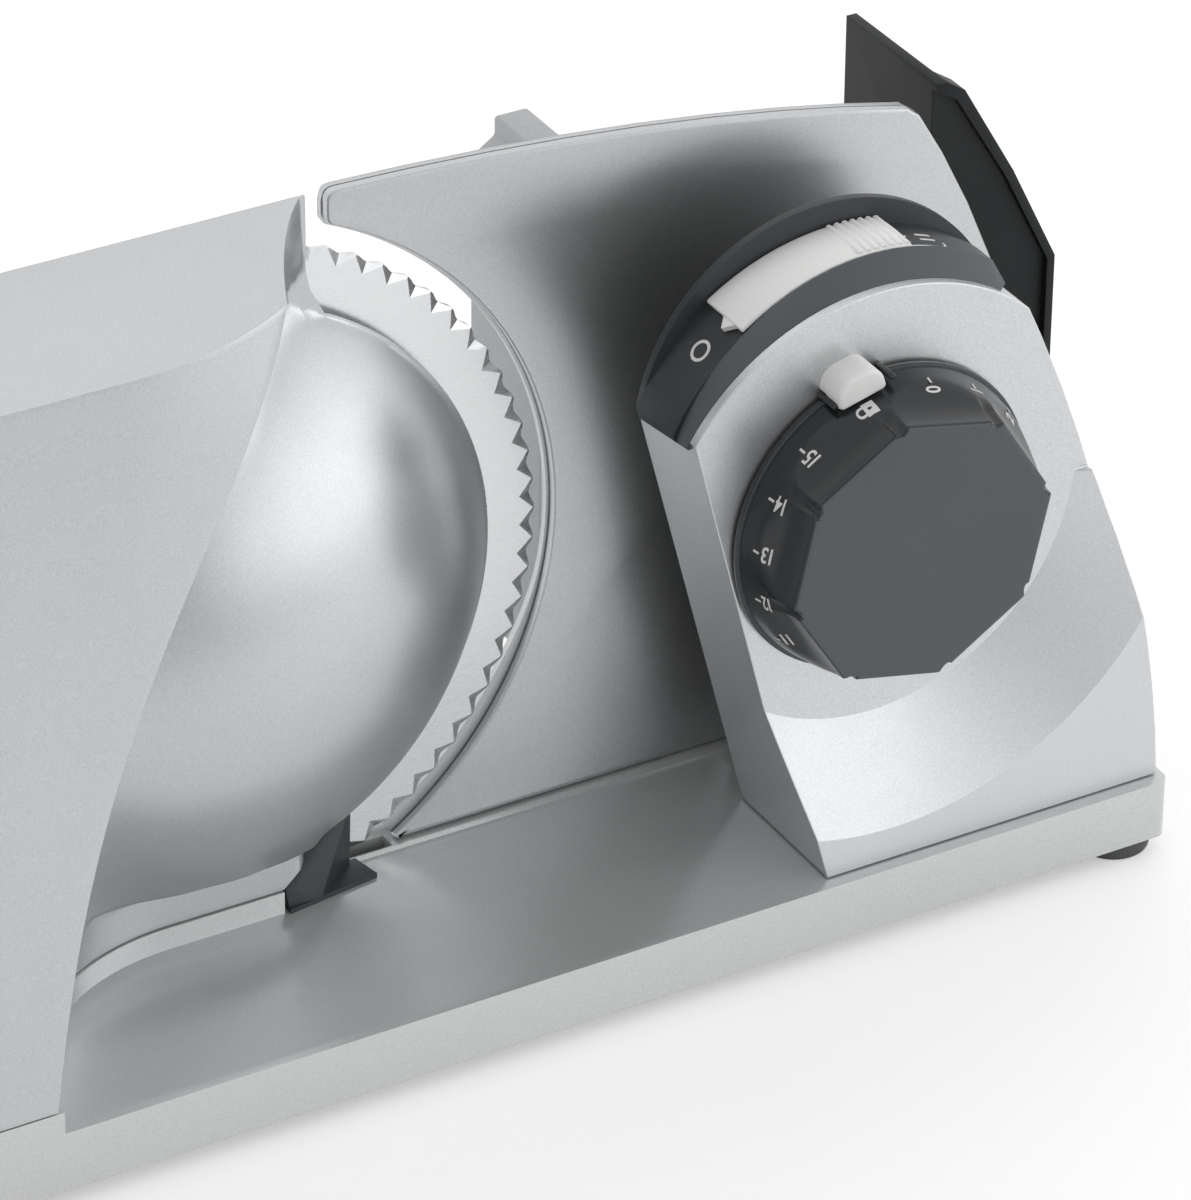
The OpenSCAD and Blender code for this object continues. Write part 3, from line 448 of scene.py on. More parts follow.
def ring_row_tree():
    """Round bars side by side on a ring about an axis along y: grip ribs and dial ticks."""
    tree = RowTree("bars_on_a_ring", {
        "Count": "Int", "Ring radius": "Float", "First angle": "Float", "Step angle": "Float",
        "Bar size": "Vector", "Tilt": "Float", "Axis": "Vector", "Material": "Material"})
    index = tree.add("GeometryNodeInputIndex", {})
    angle = tree.math("MULTIPLY_ADD", index, tree.given("Step angle"), tree.given("First angle"))
    across = tree.times(tree.math("COSINE", angle), tree.given("Ring radius"))
    up = tree.times(tree.math("SINE", angle), tree.given("Ring radius"))
    spot = tree.add("ShaderNodeVectorMath", {0: tree.vector(across, 0.0, up), 1: tree.given("Axis")}, operation="ADD")
    points = tree.add("GeometryNodePoints", {"Count": tree.given("Count"), "Position": spot})
    bar = tree.add("GeometryNodeMeshCylinder", {"Vertices": 14, "Radius": 0.5, "Depth": 1.0})
    bar = tree.moved(bar, Rotation=(math.pi / 2, 0, 0))
    bar = tree.moved(bar, Scale=tree.given("Bar size"))
    bar = tree.moved(bar, Rotation=tree.vector(0.0, 0.0, tree.given("Tilt")))
    tree.end(points, bar, tree.vector(0.0, tree.times(angle, -1.0), 0.0))
    return tree


def screw_tree():
    """Pan-head screws with a cross recess, one on each point."""
    tree = RowTree("cross_screws", {
        "Geometry": "Geometry", "Head radius": "Float", "Head height": "Float", "Shank radius": "Float",
        "Shank length": "Float", "Turn": "Vector", "Material": "Material"})
    radius, height, shank_length = (tree.given(label) for label in ("Head radius", "Head height", "Shank length"))

    def raised(shape, by):
        return tree.moved(shape, Translation=tree.vector(0.0, 0.0, by))

    long_side, short_side = tree.times(radius, 1.15), tree.times(radius, 0.3)
    slots = [
        tree.add("GeometryNodeMeshCube", {"Size": tree.vector(long_side, short_side, height)}),
        tree.add("GeometryNodeMeshCube", {"Size": tree.vector(short_side, long_side, height)})]
    cross = tree.add("GeometryNodeMeshBoolean", {"Mesh 2": slots}, operation="UNION", solver="EXACT")
    cross = raised(cross, tree.times(height, 0.45))
    head = tree.add("GeometryNodeMeshCylinder", {"Vertices": 32, "Radius": radius, "Depth": height})
    head = tree.add(
        "GeometryNodeMeshBoolean", {"Mesh 1": head, "Mesh 2": [cross]}, operation="DIFFERENCE", solver="EXACT")
    head = raised(head, tree.times(height, -0.5))
    shank = tree.add(
        "GeometryNodeMeshCylinder", {"Vertices": 20, "Radius": tree.given("Shank radius"), "Depth": shank_length})
    shank = raised(shank, tree.math("MULTIPLY_ADD", shank_length, -0.5, tree.times(height, -0.98)))
    screw = tree.add("GeometryNodeJoinGeometry", {"Geometry": [head, shank]})
    tree.end(tree.given("Geometry"), screw, tree.given("Turn"))
    return tree


ROW_TREES = {}


def row_tree(maker):
    """A tree, made once."""
    if maker.__name__ not in ROW_TREES:
        ROW_TREES[maker.__name__] = maker()
    return ROW_TREES[maker.__name__]


def ring_row(name, axis, y, radius, first, step, count, size, tilt, look):
    """A row of bars on a ring; angles in degrees, sizes in millimetres as (outwards, along y, along the ring)."""
    made = row_tree(ring_row_tree).piece(name, {
        "Count": count, "Ring radius": radius * MM, "First angle": math.radians(first),
        "Step angle": math.radians(step), "Bar size": [c * MM for c in size], "Tilt": math.radians(tilt),
        "Axis": list(at(axis[0], y, axis[1])), "Material": finish(look)})
    smooth(made, 50)
    return made


# Which way a screw's head turns from straight up, by the axis and side that it looks towards
HEAD_TURNS = {
    (0, 1): (0, 90, 0), (0, -1): (0, -90, 0), (1, 1): (-90, 0, 0), (1, -1): (90, 0, 0),
    (2, 1): (0, 0, 0), (2, -1): (180, 0, 0)}


def screws(node, name, body):
    """Screws with a cross recess in place of a node's plain ones, at the same spots and sizes."""
    spots = []
    for solid in solids_of(node):
        low, high = solid.min(axis=0), solid.max(axis=0)
        size = high - low
        along = min(range(3), key=lambda k: abs(size[(k + 1) % 3] - size[(k + 2) % 3]))
        middle = (low + high) / 2
        reach = np.sqrt(((np.delete(solid - middle, along, axis=1)) ** 2).sum(axis=1))
        head_radius = reach.max()
        head = solid[reach > 0.97 * head_radius][:, along]
        side = 1 if abs(head.max() - high[along]) < 1e-6 else -1
        thin = reach[reach < 0.9 * head_radius]
        shank_radius = thin.max() if len(thin) else 0.5 * head_radius
        middle[along] = high[along] if side > 0 else low[along]
        spots.append(tuple(middle))
    height = head.max() - head.min()
    made = row_tree(screw_tree).piece(name, {
        "Head radius": float(head_radius), "Head height": float(height), "Shank radius": float(shank_radius),
        "Shank length": float(size[along] - height), "Turn": [math.radians(a) for a in HEAD_TURNS[along, side]],
        "Material": finish("plain_steel")}, spots)
    clean(made.data)
    round_edges(made, 0.18 * MM, 2, 50)
    smooth(made)
    place(made, "plain_steel", body, [node])


# Printed marks

MARK_THICK = 0.12


def flat_mesh(curve):
    """Corners (across, up, out of the surface) in millimetres and small faces of a flat curve."""
    made = linked("mark", curve)
    graph = bpy.context.evaluated_depsgraph_get()
    mesh = bpy.data.meshes.new_from_object(made.evaluated_get(graph))
    with Editing(mesh) as shape:
        bmesh.ops.triangulate(shape, faces=shape.faces)
        bmesh.ops.subdivide_edges(shape, edges=shape.edges, cuts=2, use_grid_fill=True)
    corners = np.array([tuple(corner.co) for corner in mesh.vertices])
    faces = [tuple(face.vertices) for face in mesh.polygons]
    bpy.data.objects.remove(made)
    bpy.data.curves.remove(curve)
    bpy.data.meshes.remove(mesh)
    return corners, faces


def filled_mark(*loops):
    """A flat mark from closed outlines in millimetres; an outline inside another is a hole."""
    curve = bpy.data.curves.new("mark", "CURVE")
    curve.dimensions = "2D"
    curve.fill_mode = "BOTH"
    curve.extrude = MARK_THICK / 2
    for loop in loops:
        line = curve.splines.new("POLY")
        line.points.add(len(loop) - 1)
        for point, (u, v) in zip(line.points, loop):
            point.co = (u, v, 0, 1)
        line.use_cyclic_u = True
    return flat_mesh(curve)


def number_mark(number, height, narrow=0.58):
    """A plain number of a given height, its digits set narrow."""
    curve = bpy.data.curves.new("number", "FONT")
    curve.body = str(number)
    curve.extrude = MARK_THICK / 2
    curve.resolution_u = 4
    curve.space_character = 0.86
    curve.offset = 0.014
    corners, faces = flat_mesh(curve)
    low, high = corners.min(axis=0), corners.max(axis=0)
    scale = height / (high[1] - low[1])
    corners[:, :2] -= (low[:2] + high[:2]) / 2
    corners[:, 0] *= scale * narrow
    corners[:, 1] *= scale
    return corners, faces


def arc_points(radius, first, last, count, up=0.0):
    """Points on an arc between two angles, its centre moved up."""
    return [(radius * math.cos(a), up + radius * math.sin(a)) for a in np.linspace(first, last, count)]


def circle_points(radius):
    return arc_points(radius, 0, 2 * math.pi, 41)[:-1]


def bar_points(u0, v0, u1, v1):
    return [(u0, v0), (u1, v0), (u1, v1), (u0, v1)]


def wrapped_marks(name, marks, axis, radius_at):
    """One mesh of marks on a round surface.

    Each mark is (corners, faces, angle, y): across runs along y, up runs round the axis.
    """
    points, faces = [], []
    for corners, mark_faces, angle, y in marks:
        first = len(points)
        for u, v, w in corners:
            turn = math.radians(angle) + v / radius_at(math.radians(angle), y + u)
            points.append(around(axis, radius_at(turn, y + u) + w + 0.03, turn, y + u))
        faces += [tuple(first + i for i in face) for face in mark_faces]
    return mesh_piece(name, points, faces)


# Materials

def shade(base, factor):
    return tuple(min(1.0, c * factor) for c in base)


class Look(Nodes):
    """A new material, with its textures on the piece's own coordinates."""

    def __init__(self, name):
        self.material = bpy.data.materials.new(name)
        self.material.use_nodes = True
        super().__init__(self.material.node_tree)

    def noise(self, scale, detail, stretch=(1, 1, 1)):
        """Noise with a scale in features per metre."""
        spot = self.add("ShaderNodeTexCoord", {}, "Object")
        spot = self.add("ShaderNodeMapping", {"Vector": spot, "Scale": stretch})
        return self.add("ShaderNodeTexNoise", {"Vector": spot, "Scale": scale, "Detail": detail})

    def varied(self, factor, base, spread):
        """A colour that runs from darker to lighter with a factor."""
        tint = self.add("ShaderNodeValToRGB", {"Fac": factor})
        dark, light = tint.node.color_ramp.elements
        dark.position, light.position = 0.3, 0.7
        dark.color, light.color = (*shade(base, 1 - spread), 1), (*shade(base, 1 + spread), 1)
        return tint

    def ranged(self, factor, middle, spread):
        """A number that runs from below a middle to above it with a factor."""
        return self.ramp(factor, 0.3, 0.7, middle - spread, middle + spread, "LINEAR")

    def bumped(self, height, strength, distance):
        return self.add("ShaderNodeBump", {"Height": height, "Strength": strength, "Distance": distance})

    def done(self, sockets):
        """The material, with the sockets of its main shader filled."""
        self.fill(self.tree.nodes["Principled BSDF"], sockets)
        return self.material


def metal_paint(name, base, roughness, flake=0.07, metal=0.9, patchy=0.025):
    """Silver paint: fine metal flakes under a satin coat."""
    look = Look(name)
    flakes, clouds = look.noise(2600, 1.0), look.noise(60, 3.0)
    return look.done({
        "Base Color": look.varied(flakes, base, flake), "Roughness": look.ranged(clouds, roughness, patchy),
        "Normal": look.bumped(flakes, 0.12, 0.00005), "Metallic": metal})


def moulded(name, base, roughness, grain, grain_scale, spread, gloss=0.5):
    """Moulded plastic with a fine spark-eroded grain."""
    look = Look(name)
    grains, clouds = look.noise(grain_scale, 2.0), look.noise(45, 2.0)
    return look.done({
        "Base Color": look.varied(grains, base, spread), "Roughness": look.ranged(clouds, roughness, 0.03),
        "Normal": look.bumped(grains, grain, 0.00006), "Specular IOR Level": gloss})


def brushed(name, base, roughness, across, spread=0.06, bump=0.05, patchy=0.045):
    """Steel with fine straight grinding lines; across stretches the lines along the other axes."""
    look = Look(name)
    lines = look.noise(1.0, 3.0, across)
    return look.done({
        "Base Color": look.varied(lines, base, spread), "Roughness": look.ranged(lines, roughness, patchy),
        "Normal": look.bumped(lines, bump, 0.00003), "Metallic": 0.9})


# Each finish: how it is made, its colour or the setting that holds it, a factor on the colour, and the maker's values
FINISH_TABLE = {
    "silver_paint": (metal_paint, "silver", 1, {"roughness": 0.35}),
    # The dial housing's paint is the silver paint made 12% lighter: painted light, for the brighter light that this
    # housing catches
    "dial_paint": (metal_paint, "silver", 1.12, {"roughness": 0.35}),
    "plate_satin": (metal_paint, "silver", 1, {"roughness": 0.37, "patchy": 0.006}),
    "tray_satin": (metal_paint, "tray", 1, {"roughness": 0.23, "flake": 0.06, "metal": 0.5}),
    "dark_plastic": (moulded, "dark", 1, {"roughness": 0.42, "grain": 0.1, "grain_scale": 2000, "spread": 0.08}),
    "dark_matt": (
        moulded, "dark", 0.4, {"roughness": 0.5, "grain": 0.1, "grain_scale": 2000, "spread": 0.08, "gloss": 0.25}),
    "dark_gloss": (moulded, "dark", 0.6, {"roughness": 0.22, "grain": 0.03, "grain_scale": 2000, "spread": 0.05}),
    # A lighter copy of the dark plastic, 2.6 times its colour: painted light, for the light that faces turned to the
    # front catch; it goes on the dial's front face and the drum's band
    "knob_face": (moulded, "dark", 2.6, {"roughness": 0.5, "grain": 0.1, "grain_scale": 2400, "spread": 0.05}),
    "white_plastic": (moulded, "white", 1, {"roughness": 0.38, "grain": 0.04, "grain_scale": 1500, "spread": 0.02}),
    "light_plastic": (moulded, "light", 1, {"roughness": 0.45, "grain": 0.08, "grain_scale": 1800, "spread": 0.05}),
    "gear_plastic": (
        moulded, (0.76, 0.75, 0.70), 1, {"roughness": 0.45, "grain": 0.05, "grain_scale": 1200, "spread": 0.03}),
    "black_rubber": (
        moulded, (0.085, 0.087, 0.09), 1, {"roughness": 0.72, "grain": 0.15, "grain_scale": 1600, "spread": 0.12}),
    "black_plastic": (
        moulded, (0.018, 0.018, 0.02), 1, {"roughness": 0.45, "grain": 0.06, "grain_scale": 1600, "spread": 0.08}),
    "print_white": (
        moulded, (0.80, 0.80, 0.80), 1, {"roughness": 0.5, "grain": 0.03, "grain_scale": 1500, "spread": 0.02}),
    "blade_steel": (brushed, "steel", 1, {
        "roughness": 0.28, "across": (60, 60, 1600), "spread": 0.02, "bump": 0.002, "patchy": 0.02}),
    "rail_steel": (brushed, "steel", 0.85, {"roughness": 0.2, "across": (40, 3000, 3000)}),
    "plain_steel": (brushed, (0.50, 0.51, 0.52), 1, {"roughness": 0.32, "across": (900, 900, 900), "spread": 0.08}),
    "bronze": (brushed, (0.50, 0.34, 0.15), 1, {"roughness": 0.4, "across": (1500, 1500, 1500), "spread": 0.12}),
    "motor_iron": (brushed, (0.16, 0.15, 0.15), 1, {"roughness": 0.5, "across": (300, 2600, 300), "spread": 0.2}),
}
FINISHES = {}


def finish(name):
    """A finish by name, made once."""
    if name not in FINISHES:
        maker, base, factor, values = FINISH_TABLE[name]
        if isinstance(base, str):
            base = getattr(bpy.context.scene.slicer_colours, base)
        FINISHES[name] = maker(name, shade(base, factor), **values)
    return FINISHES[name]


# Base

FOOT_WIDENING = 1.3
# Where the deck's curved edge lies, the width of the step at its end and the depths over which it is evened out
DECK_CURVE_X, DECK_CURVE_Y = (-275, -226), (10, 48.6)
DECK_STEP, DECK_EVEN_FROM, DECK_EVEN_OVER = 1.0, 20.0, 28.5


class SLICER_OT_base(bpy.types.Operator):
    """Builds the base with its tray, deck, cover and feet"""

    bl_idname = "slicer.base"
    bl_label = "Base"

    def execute(self, context):
        self.make_tray()
        softened("base_cover", "base_underside", "dark_plastic", "frame", 0.4)
        self.make_feet()
        softened("cord_gland", "lead_bushing", "black_rubber", "frame", 0.5)
        screws("base_screws", "base_cover_screws", "frame")
        return {"FINISHED"}

    def make_tray(self):
        """The base; the curved edge of its deck runs into the straight one without a step."""
        base = copy_of("base_tray", "base")
        with Editing(base.data) as shape:
            for corner in shape.verts:
                x, y, z = (corner.co - CORNER) / MM
                on_curve = DECK_CURVE_X[0] < x < DECK_CURVE_X[1] and DECK_CURVE_Y[0] < y < DECK_CURVE_Y[1]
                if on_curve and -0.1 < z < DECK_TOP + 0.1:
                    corner.co.y += DECK_STEP * smooth_step((y - DECK_EVEN_FROM) / DECK_EVEN_OVER) * MM
            bmesh.ops.remove_doubles(shape, verts=shape.verts, dist=SAME_SPOT)
        round_edges(base, 0.45 * MM)
        smooth(base)
        place(base, "tray_satin", "frame", ["base_tray"])

    def make_feet(self):
        """Round feet, a little wider than the plain ones."""
        feet = copy_of("rubber_feet", "feet")
        spots = [Vector(solid.min(axis=0) + solid.max(axis=0)) / 2 for solid in solids_of("rubber_feet")]
        for corner in feet.data.vertices:
            spot = min(spots, key=lambda middle: (middle - corner.co).length)
            corner.co.xy = spot.xy + FOOT_WIDENING * (corner.co.xy - spot.xy)
        round_edges(feet, 0.8 * MM)
        smooth(feet)
        place(feet, "black_rubber", "frame", ["rubber_feet"])


# Motor housing

# Height and place of the sail-shaped edge between the panel and the sweep
SAIL_EDGE = [(5.4, -276.2), (32.1, -271.3), (61.3, -264.3), (89.1, -254.7), (114.3, -242.1), (137.4, -230.1),
             (161.1, -215.2), (169.5, -209.3)]
SAIL_CURVE = np.polynomial.Polynomial.fit([z for z, x in SAIL_EDGE], [x for z, x in SAIL_EDGE], 4)
FRONT_LEAN = 0.042
PANEL_TURN, PANEL_TURN_FROM, PANEL_TURN_OVER = 12.3, -250.0, 40.0
SWEEP_ROUND = 50.0
# Where the sweep's right end begins, its width, how much wider it is higher up, and where it stops
SWEEP_END, SWEEP_END_WIDTH, SWEEP_END_TOP, SWEEP_END_FADE = -194.0, 14.0, 154.0, 24.0
SWEEP_GROWTH, GROWTH_FROM, GROWTH_OVER = 18.0, 70.0, 40.0
ROOF_FROM, ROOF_REACH, ROOF_FALL = 105.0, 23.8, HOUSE_REAR - 19.2
DOME_RIM = 71.8
DOME_DEPTH = 40.0
DOME_SPHERE = (DOME_RIM ** 2 + DOME_DEPTH ** 2) / (2 * DOME_DEPTH)
DOME_CENTRE = HOUSE_REAR - DOME_DEPTH + DOME_SPHERE
DOME_FIRST, DOME_LAST = 62.5, -56.0
SKIRT_TOP = 15.0
# How far a surface is pushed back to leave another one in front
PUSHED_BACK = 30


def front_panel(x, z):
    """Depth of the front panel; near the top it turns back towards the sail edge."""
    turn = np.clip((x - PANEL_TURN_FROM) / PANEL_TURN_OVER, 0, 1.2) ** 2 * np.clip(z / HOUSE_TOP, 0, 1) ** 4
    return FRONT_LEAN * (z - DECK_TOP) + PANEL_TURN * turn


def housing_right_edge(count, seam):
    """Evenly spaced (x, z) points down the right edge of the housing: roof end, dome rim, deflector seat."""
    points = [(-185.4, HOUSE_TOP), (-185.4, 160), (-185.6, 152), (-184.6, 147), (-182.6, 143.4)]
    for angle in np.radians(np.linspace(DOME_FIRST, DOME_LAST, 80)):
        points.append(around(BLADE_AXIS, DOME_RIM, angle, 0)[::2])
    points = np.array(points + [(-189.5, 13.2), (-197.8, seam)])
    run = np.concatenate([[0], np.cumsum(np.hypot(*np.diff(points, axis=0).T))])
    even = np.linspace(0, run[-1], count)
    return np.interp(even, run, points[:, 0]), np.interp(even, run, points[:, 1])


def housing_hollow(x, z, blend):
    """Depth of the housing right of the sail edge: the hollow sweep, with the gear dome standing in it."""
    from_edge = np.maximum(x - SAIL_CURVE(z), 0.0)
    start = front_panel(SAIL_CURVE(z), z)
    to_round_end = 1 - np.clip(from_edge / SWEEP_ROUND, 0, 1)
    round_part = SWEEP_ROUND * np.sqrt(np.clip(1 - to_round_end ** 2, 0, 1))
    share = from_edge / ROOF_REACH
    roof_part = ROOF_FALL * (share + 0.4 * share * (1 - share))
    to_roof = smooth_step((z - ROOF_FROM) / (HOUSE_TOP - ROOF_FROM))
    sweep = start + round_part * (1 - to_roof) + roof_part * to_roof
    wider = SWEEP_GROWTH * smooth_step((z - GROWTH_FROM) / GROWTH_OVER)
    right_end = smooth_step((x - SWEEP_END + wider) / (SWEEP_END_WIDTH + wider))
    sweep = sweep + PUSHED_BACK * right_end * smooth_step((SWEEP_END_TOP - z) / SWEEP_END_FADE)
    inside = DOME_SPHERE ** 2 - (x - BLADE_AXIS[0]) ** 2 - (z - BLADE_AXIS[1]) ** 2
    dome = DOME_CENTRE - np.sqrt(np.maximum(inside, 0.0))
    dome = dome + PUSHED_BACK * smooth_step((SKIRT_TOP + 3 - z) / 5)
    return np.minimum(soft_min(sweep, dome, blend), HOUSE_REAR - 0.8)


class SLICER_OT_motor_housing(bpy.types.Operator):
    """Builds the motor housing: leaning front, roof, hollow sweep and gear dome in one shell"""

    bl_idname = "slicer.motor_housing"
    bl_label = "Motor housing"

    def execute(self, context):
        sizes = context.scene.slicer_sizes
        piece = self.make_skin(DECK_TOP + sizes.seam / MM, sizes.dome_blend / MM)
        wall = piece.modifiers.new("Wall", "SOLIDIFY")
        wall.thickness = sizes.shell_wall
        wall.offset = -1
        wall.use_even_offset = False
        settle(piece)
        round_edges(piece, sizes.edge_round, 3, 40)
        roof = at(0, 0, HOUSE_TOP).z
        for corner in piece.data.vertices:
            corner.co.z = min(corner.co.z, roof)
        smooth(piece, 38)
        place(piece, "silver_paint", "frame", ["motor_housing"])
        softened("gearbox_plate", "gearbox_back", "light_plastic", "frame", 0.4)
        screws("housing_screws", "gearbox_screws", "frame")
        return {"FINISHED"}

    def make_skin(self, seam, blend):
        """The outside of the shell: a grid over the panel and the hollow, and a straight rim back to the rear."""
        rows, left_columns, right_columns = 111, 34, 90
        heights = np.linspace(HOUSE_TOP, seam, rows)
        edge_x = SAIL_CURVE(heights)
        right_x, right_z = housing_right_edge(rows, seam)
        left_share = np.linspace(0, 1, left_columns) ** 0.8
        right_share = np.linspace(0, 1, right_columns)
        right_share = 0.75 * right_share + 0.25 * right_share ** 2
        points = []
        for r in range(rows):
            x = BASE_LEFT + (edge_x[r] - BASE_LEFT) * left_share
            z = np.full(left_columns, heights[r])
            panel = np.stack([x, front_panel(x, z), z], axis=1)
            x = edge_x[r] + (right_x[r] - edge_x[r]) * right_share[1:]
            z = heights[r] + (right_z[r] - heights[r]) * right_share[1:]
            hollow = np.stack([x, housing_hollow(x, z, blend), z], axis=1)
            points.extend(panel.tolist() + hollow.tolist())
        columns = left_columns + right_columns - 1
        faces, rim, first = grid_faces(rows, columns), grid_rim(rows, columns), len(points)
        points += [(points[i][0], HOUSE_REAR, points[i][2]) for i in rim]
        for k in range(len(rim)):
            n = (k + 1) % len(rim)
            faces.append((rim[k], first + k, first + n, rim[n]))
        return mesh_piece("motor_shell", points, faces)


class SLICER_OT_deflector(bpy.types.Operator):
    """Builds the dark slice deflector below the blade"""

    bl_idname = "slicer.deflector"
    bl_label = "Slice deflector"

    def execute(self, context):
        softened("slice_deflector", "deflector", "dark_plastic", "frame", 0.3)
        return {"FINISHED"}


# Blade

BLADE_BORE, BLADE_MIDDLE, BLADE_FLAT = 12.0, 60.0, 72.0
TOOTH_STEPS = 12
# How far in from the edge the ground part begins: the ring before it, and the scallops at a tip and beyond it
GRIND_RING, GRIND_TIP, GRIND_SCALLOP = 4.4, 0.4, 3.3


class SLICER_OT_blade(bpy.types.Operator):
    """Builds the round blade with its ground scallops"""

    bl_idname = "slicer.blade"
    bl_label = "Blade"

    def execute(self, context):
        sizes = context.scene.slicer_sizes
        low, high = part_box("blade")
        front, back = (low.y - CORNER.y) / MM, (high.y - CORNER.y) / MM
        outer = (high.x - low.x) / 2 / MM
        count = sizes.blade_teeth * TOOTH_STEPS
        angles = np.arange(count) * 2 * math.pi / count
        from_tip = 1 - np.abs(2 * (np.arange(count) % TOOTH_STEPS) / TOOTH_STEPS - 1)
        edge = outer - sizes.tooth_depth / MM * (0.5 - 0.5 * np.cos(from_tip * math.pi))
        inner = outer - GRIND_TIP - GRIND_SCALLOP * from_tip
        whole = np.ones(count)
        rings = [(r * whole, front * whole) for r in (BLADE_BORE, BLADE_MIDDLE, BLADE_FLAT, outer - GRIND_RING)]
        for share in (0.0, 0.5, 1.0):
            ground = front + share * (0.1 + 0.6 * (back - front - 0.2) * from_tip)
            rings.append((inner + (edge - inner) * share, ground))
        rings += [(edge, back * whole), (BLADE_FLAT * whole, back * whole), (BLADE_BORE * whole, back * whole)]
        piece = layered("round_blade", [
            [around(BLADE_AXIS, r, a, y) for r, a, y in zip(radius, angles, depth)] for radius, depth in rings])
        smooth(piece, 18)
        place(piece, "blade_steel", "blade_unit", ["blade"])
        screws("blade_screws", "blade_bolts", "blade_unit")
        return {"FINISHED"}


# Dial housing

SCOOP_SLOPE = math.radians(23)


class SLICER_OT_dial_housing(bpy.types.Operator):
    """Builds the silver dial housing and its rear cover"""

    bl_idname = "slicer.dial_housing"
    bl_label = "Dial housing"

    def execute(self, context):
        sizes = context.scene.slicer_sizes
        shell = copy_of("dial_housing", "dial_shell")
        foot = min(corner.co.z for corner in shell.data.vertices)
        for corner in shell.data.vertices:
            if corner.co.z < foot + 1e-6:
                corner.co.z += sizes.seam
        round_edges(shell, 0.5 * sizes.edge_round, 2, 16)
        smooth(shell, 14)
        self.shade_scoop(shell.data)
        # The dial housing takes the lighter copy of the silver paint: painted light
        place(shell, "dial_paint", "frame", ["dial_housing"])
        softened("dial_housing_back", "dial_back", "dark_plastic", "frame", 0.4)
        screws("back_screws", "dial_back_screws", "frame")
        return {"FINISHED"}

    def shade_scoop(self, mesh):
        """Shades the scoop round the dial as the true cone that it is."""
        middle = at(DIAL_AXIS[0], 0, DIAL_AXIS[1])

        def cone_normal(spot):
            inwards = Vector((middle.x - spot.x, 0, middle.z - spot.z)).normalized()
            return inwards * math.sin(SCOOP_SLOPE) + Vector((0, -math.cos(SCOOP_SLOPE), 0))

        normals = [tuple(corner.vector) for corner in mesh.corner_normals]
        for face in mesh.polygons:
            if face.normal.dot(cone_normal(face.center)) > 0.985:
                for corner in face.loop_indices:
                    normals[corner] = tuple(cone_normal(mesh.vertices[mesh.loops[corner].vertex_index].co))
        mesh.normals_split_custom_set(normals)


# Switch

# Flat cuts at the drum's tips: a spot on the cut and two directions in it
DRUM_CUTS = (
    ((-39.6, 22.0, 133.5), (5.8, 0, -10.7), (0.486, 0.726, -0.486)),
    ((-115.6, 40, 105.9), (1.05, 23.7, -4.1), (0.43, 0.733, -0.527)),
    ((-115.6, 40, 105.9), (-0.134, 2.81, 3.82), (0.43, 0.733, -0.527)))
DRUM_BAND_BACK = 22.4
SLIDER_FIRST, SLIDER_LAST = 79.3, 124.7
SLIDER_FRONT, SLIDER_MIDDLE, SLIDER_BACK = 22.35, 29.5, 36.65
SLIDER_UNDER, SLIDER_TOP, SLIDER_CROWN = 54.85, 56.3, 0.45
PEG_ANGLE, PEG_RADIUS, PEG_SIDES = math.radians(114.7), 1.5, 16


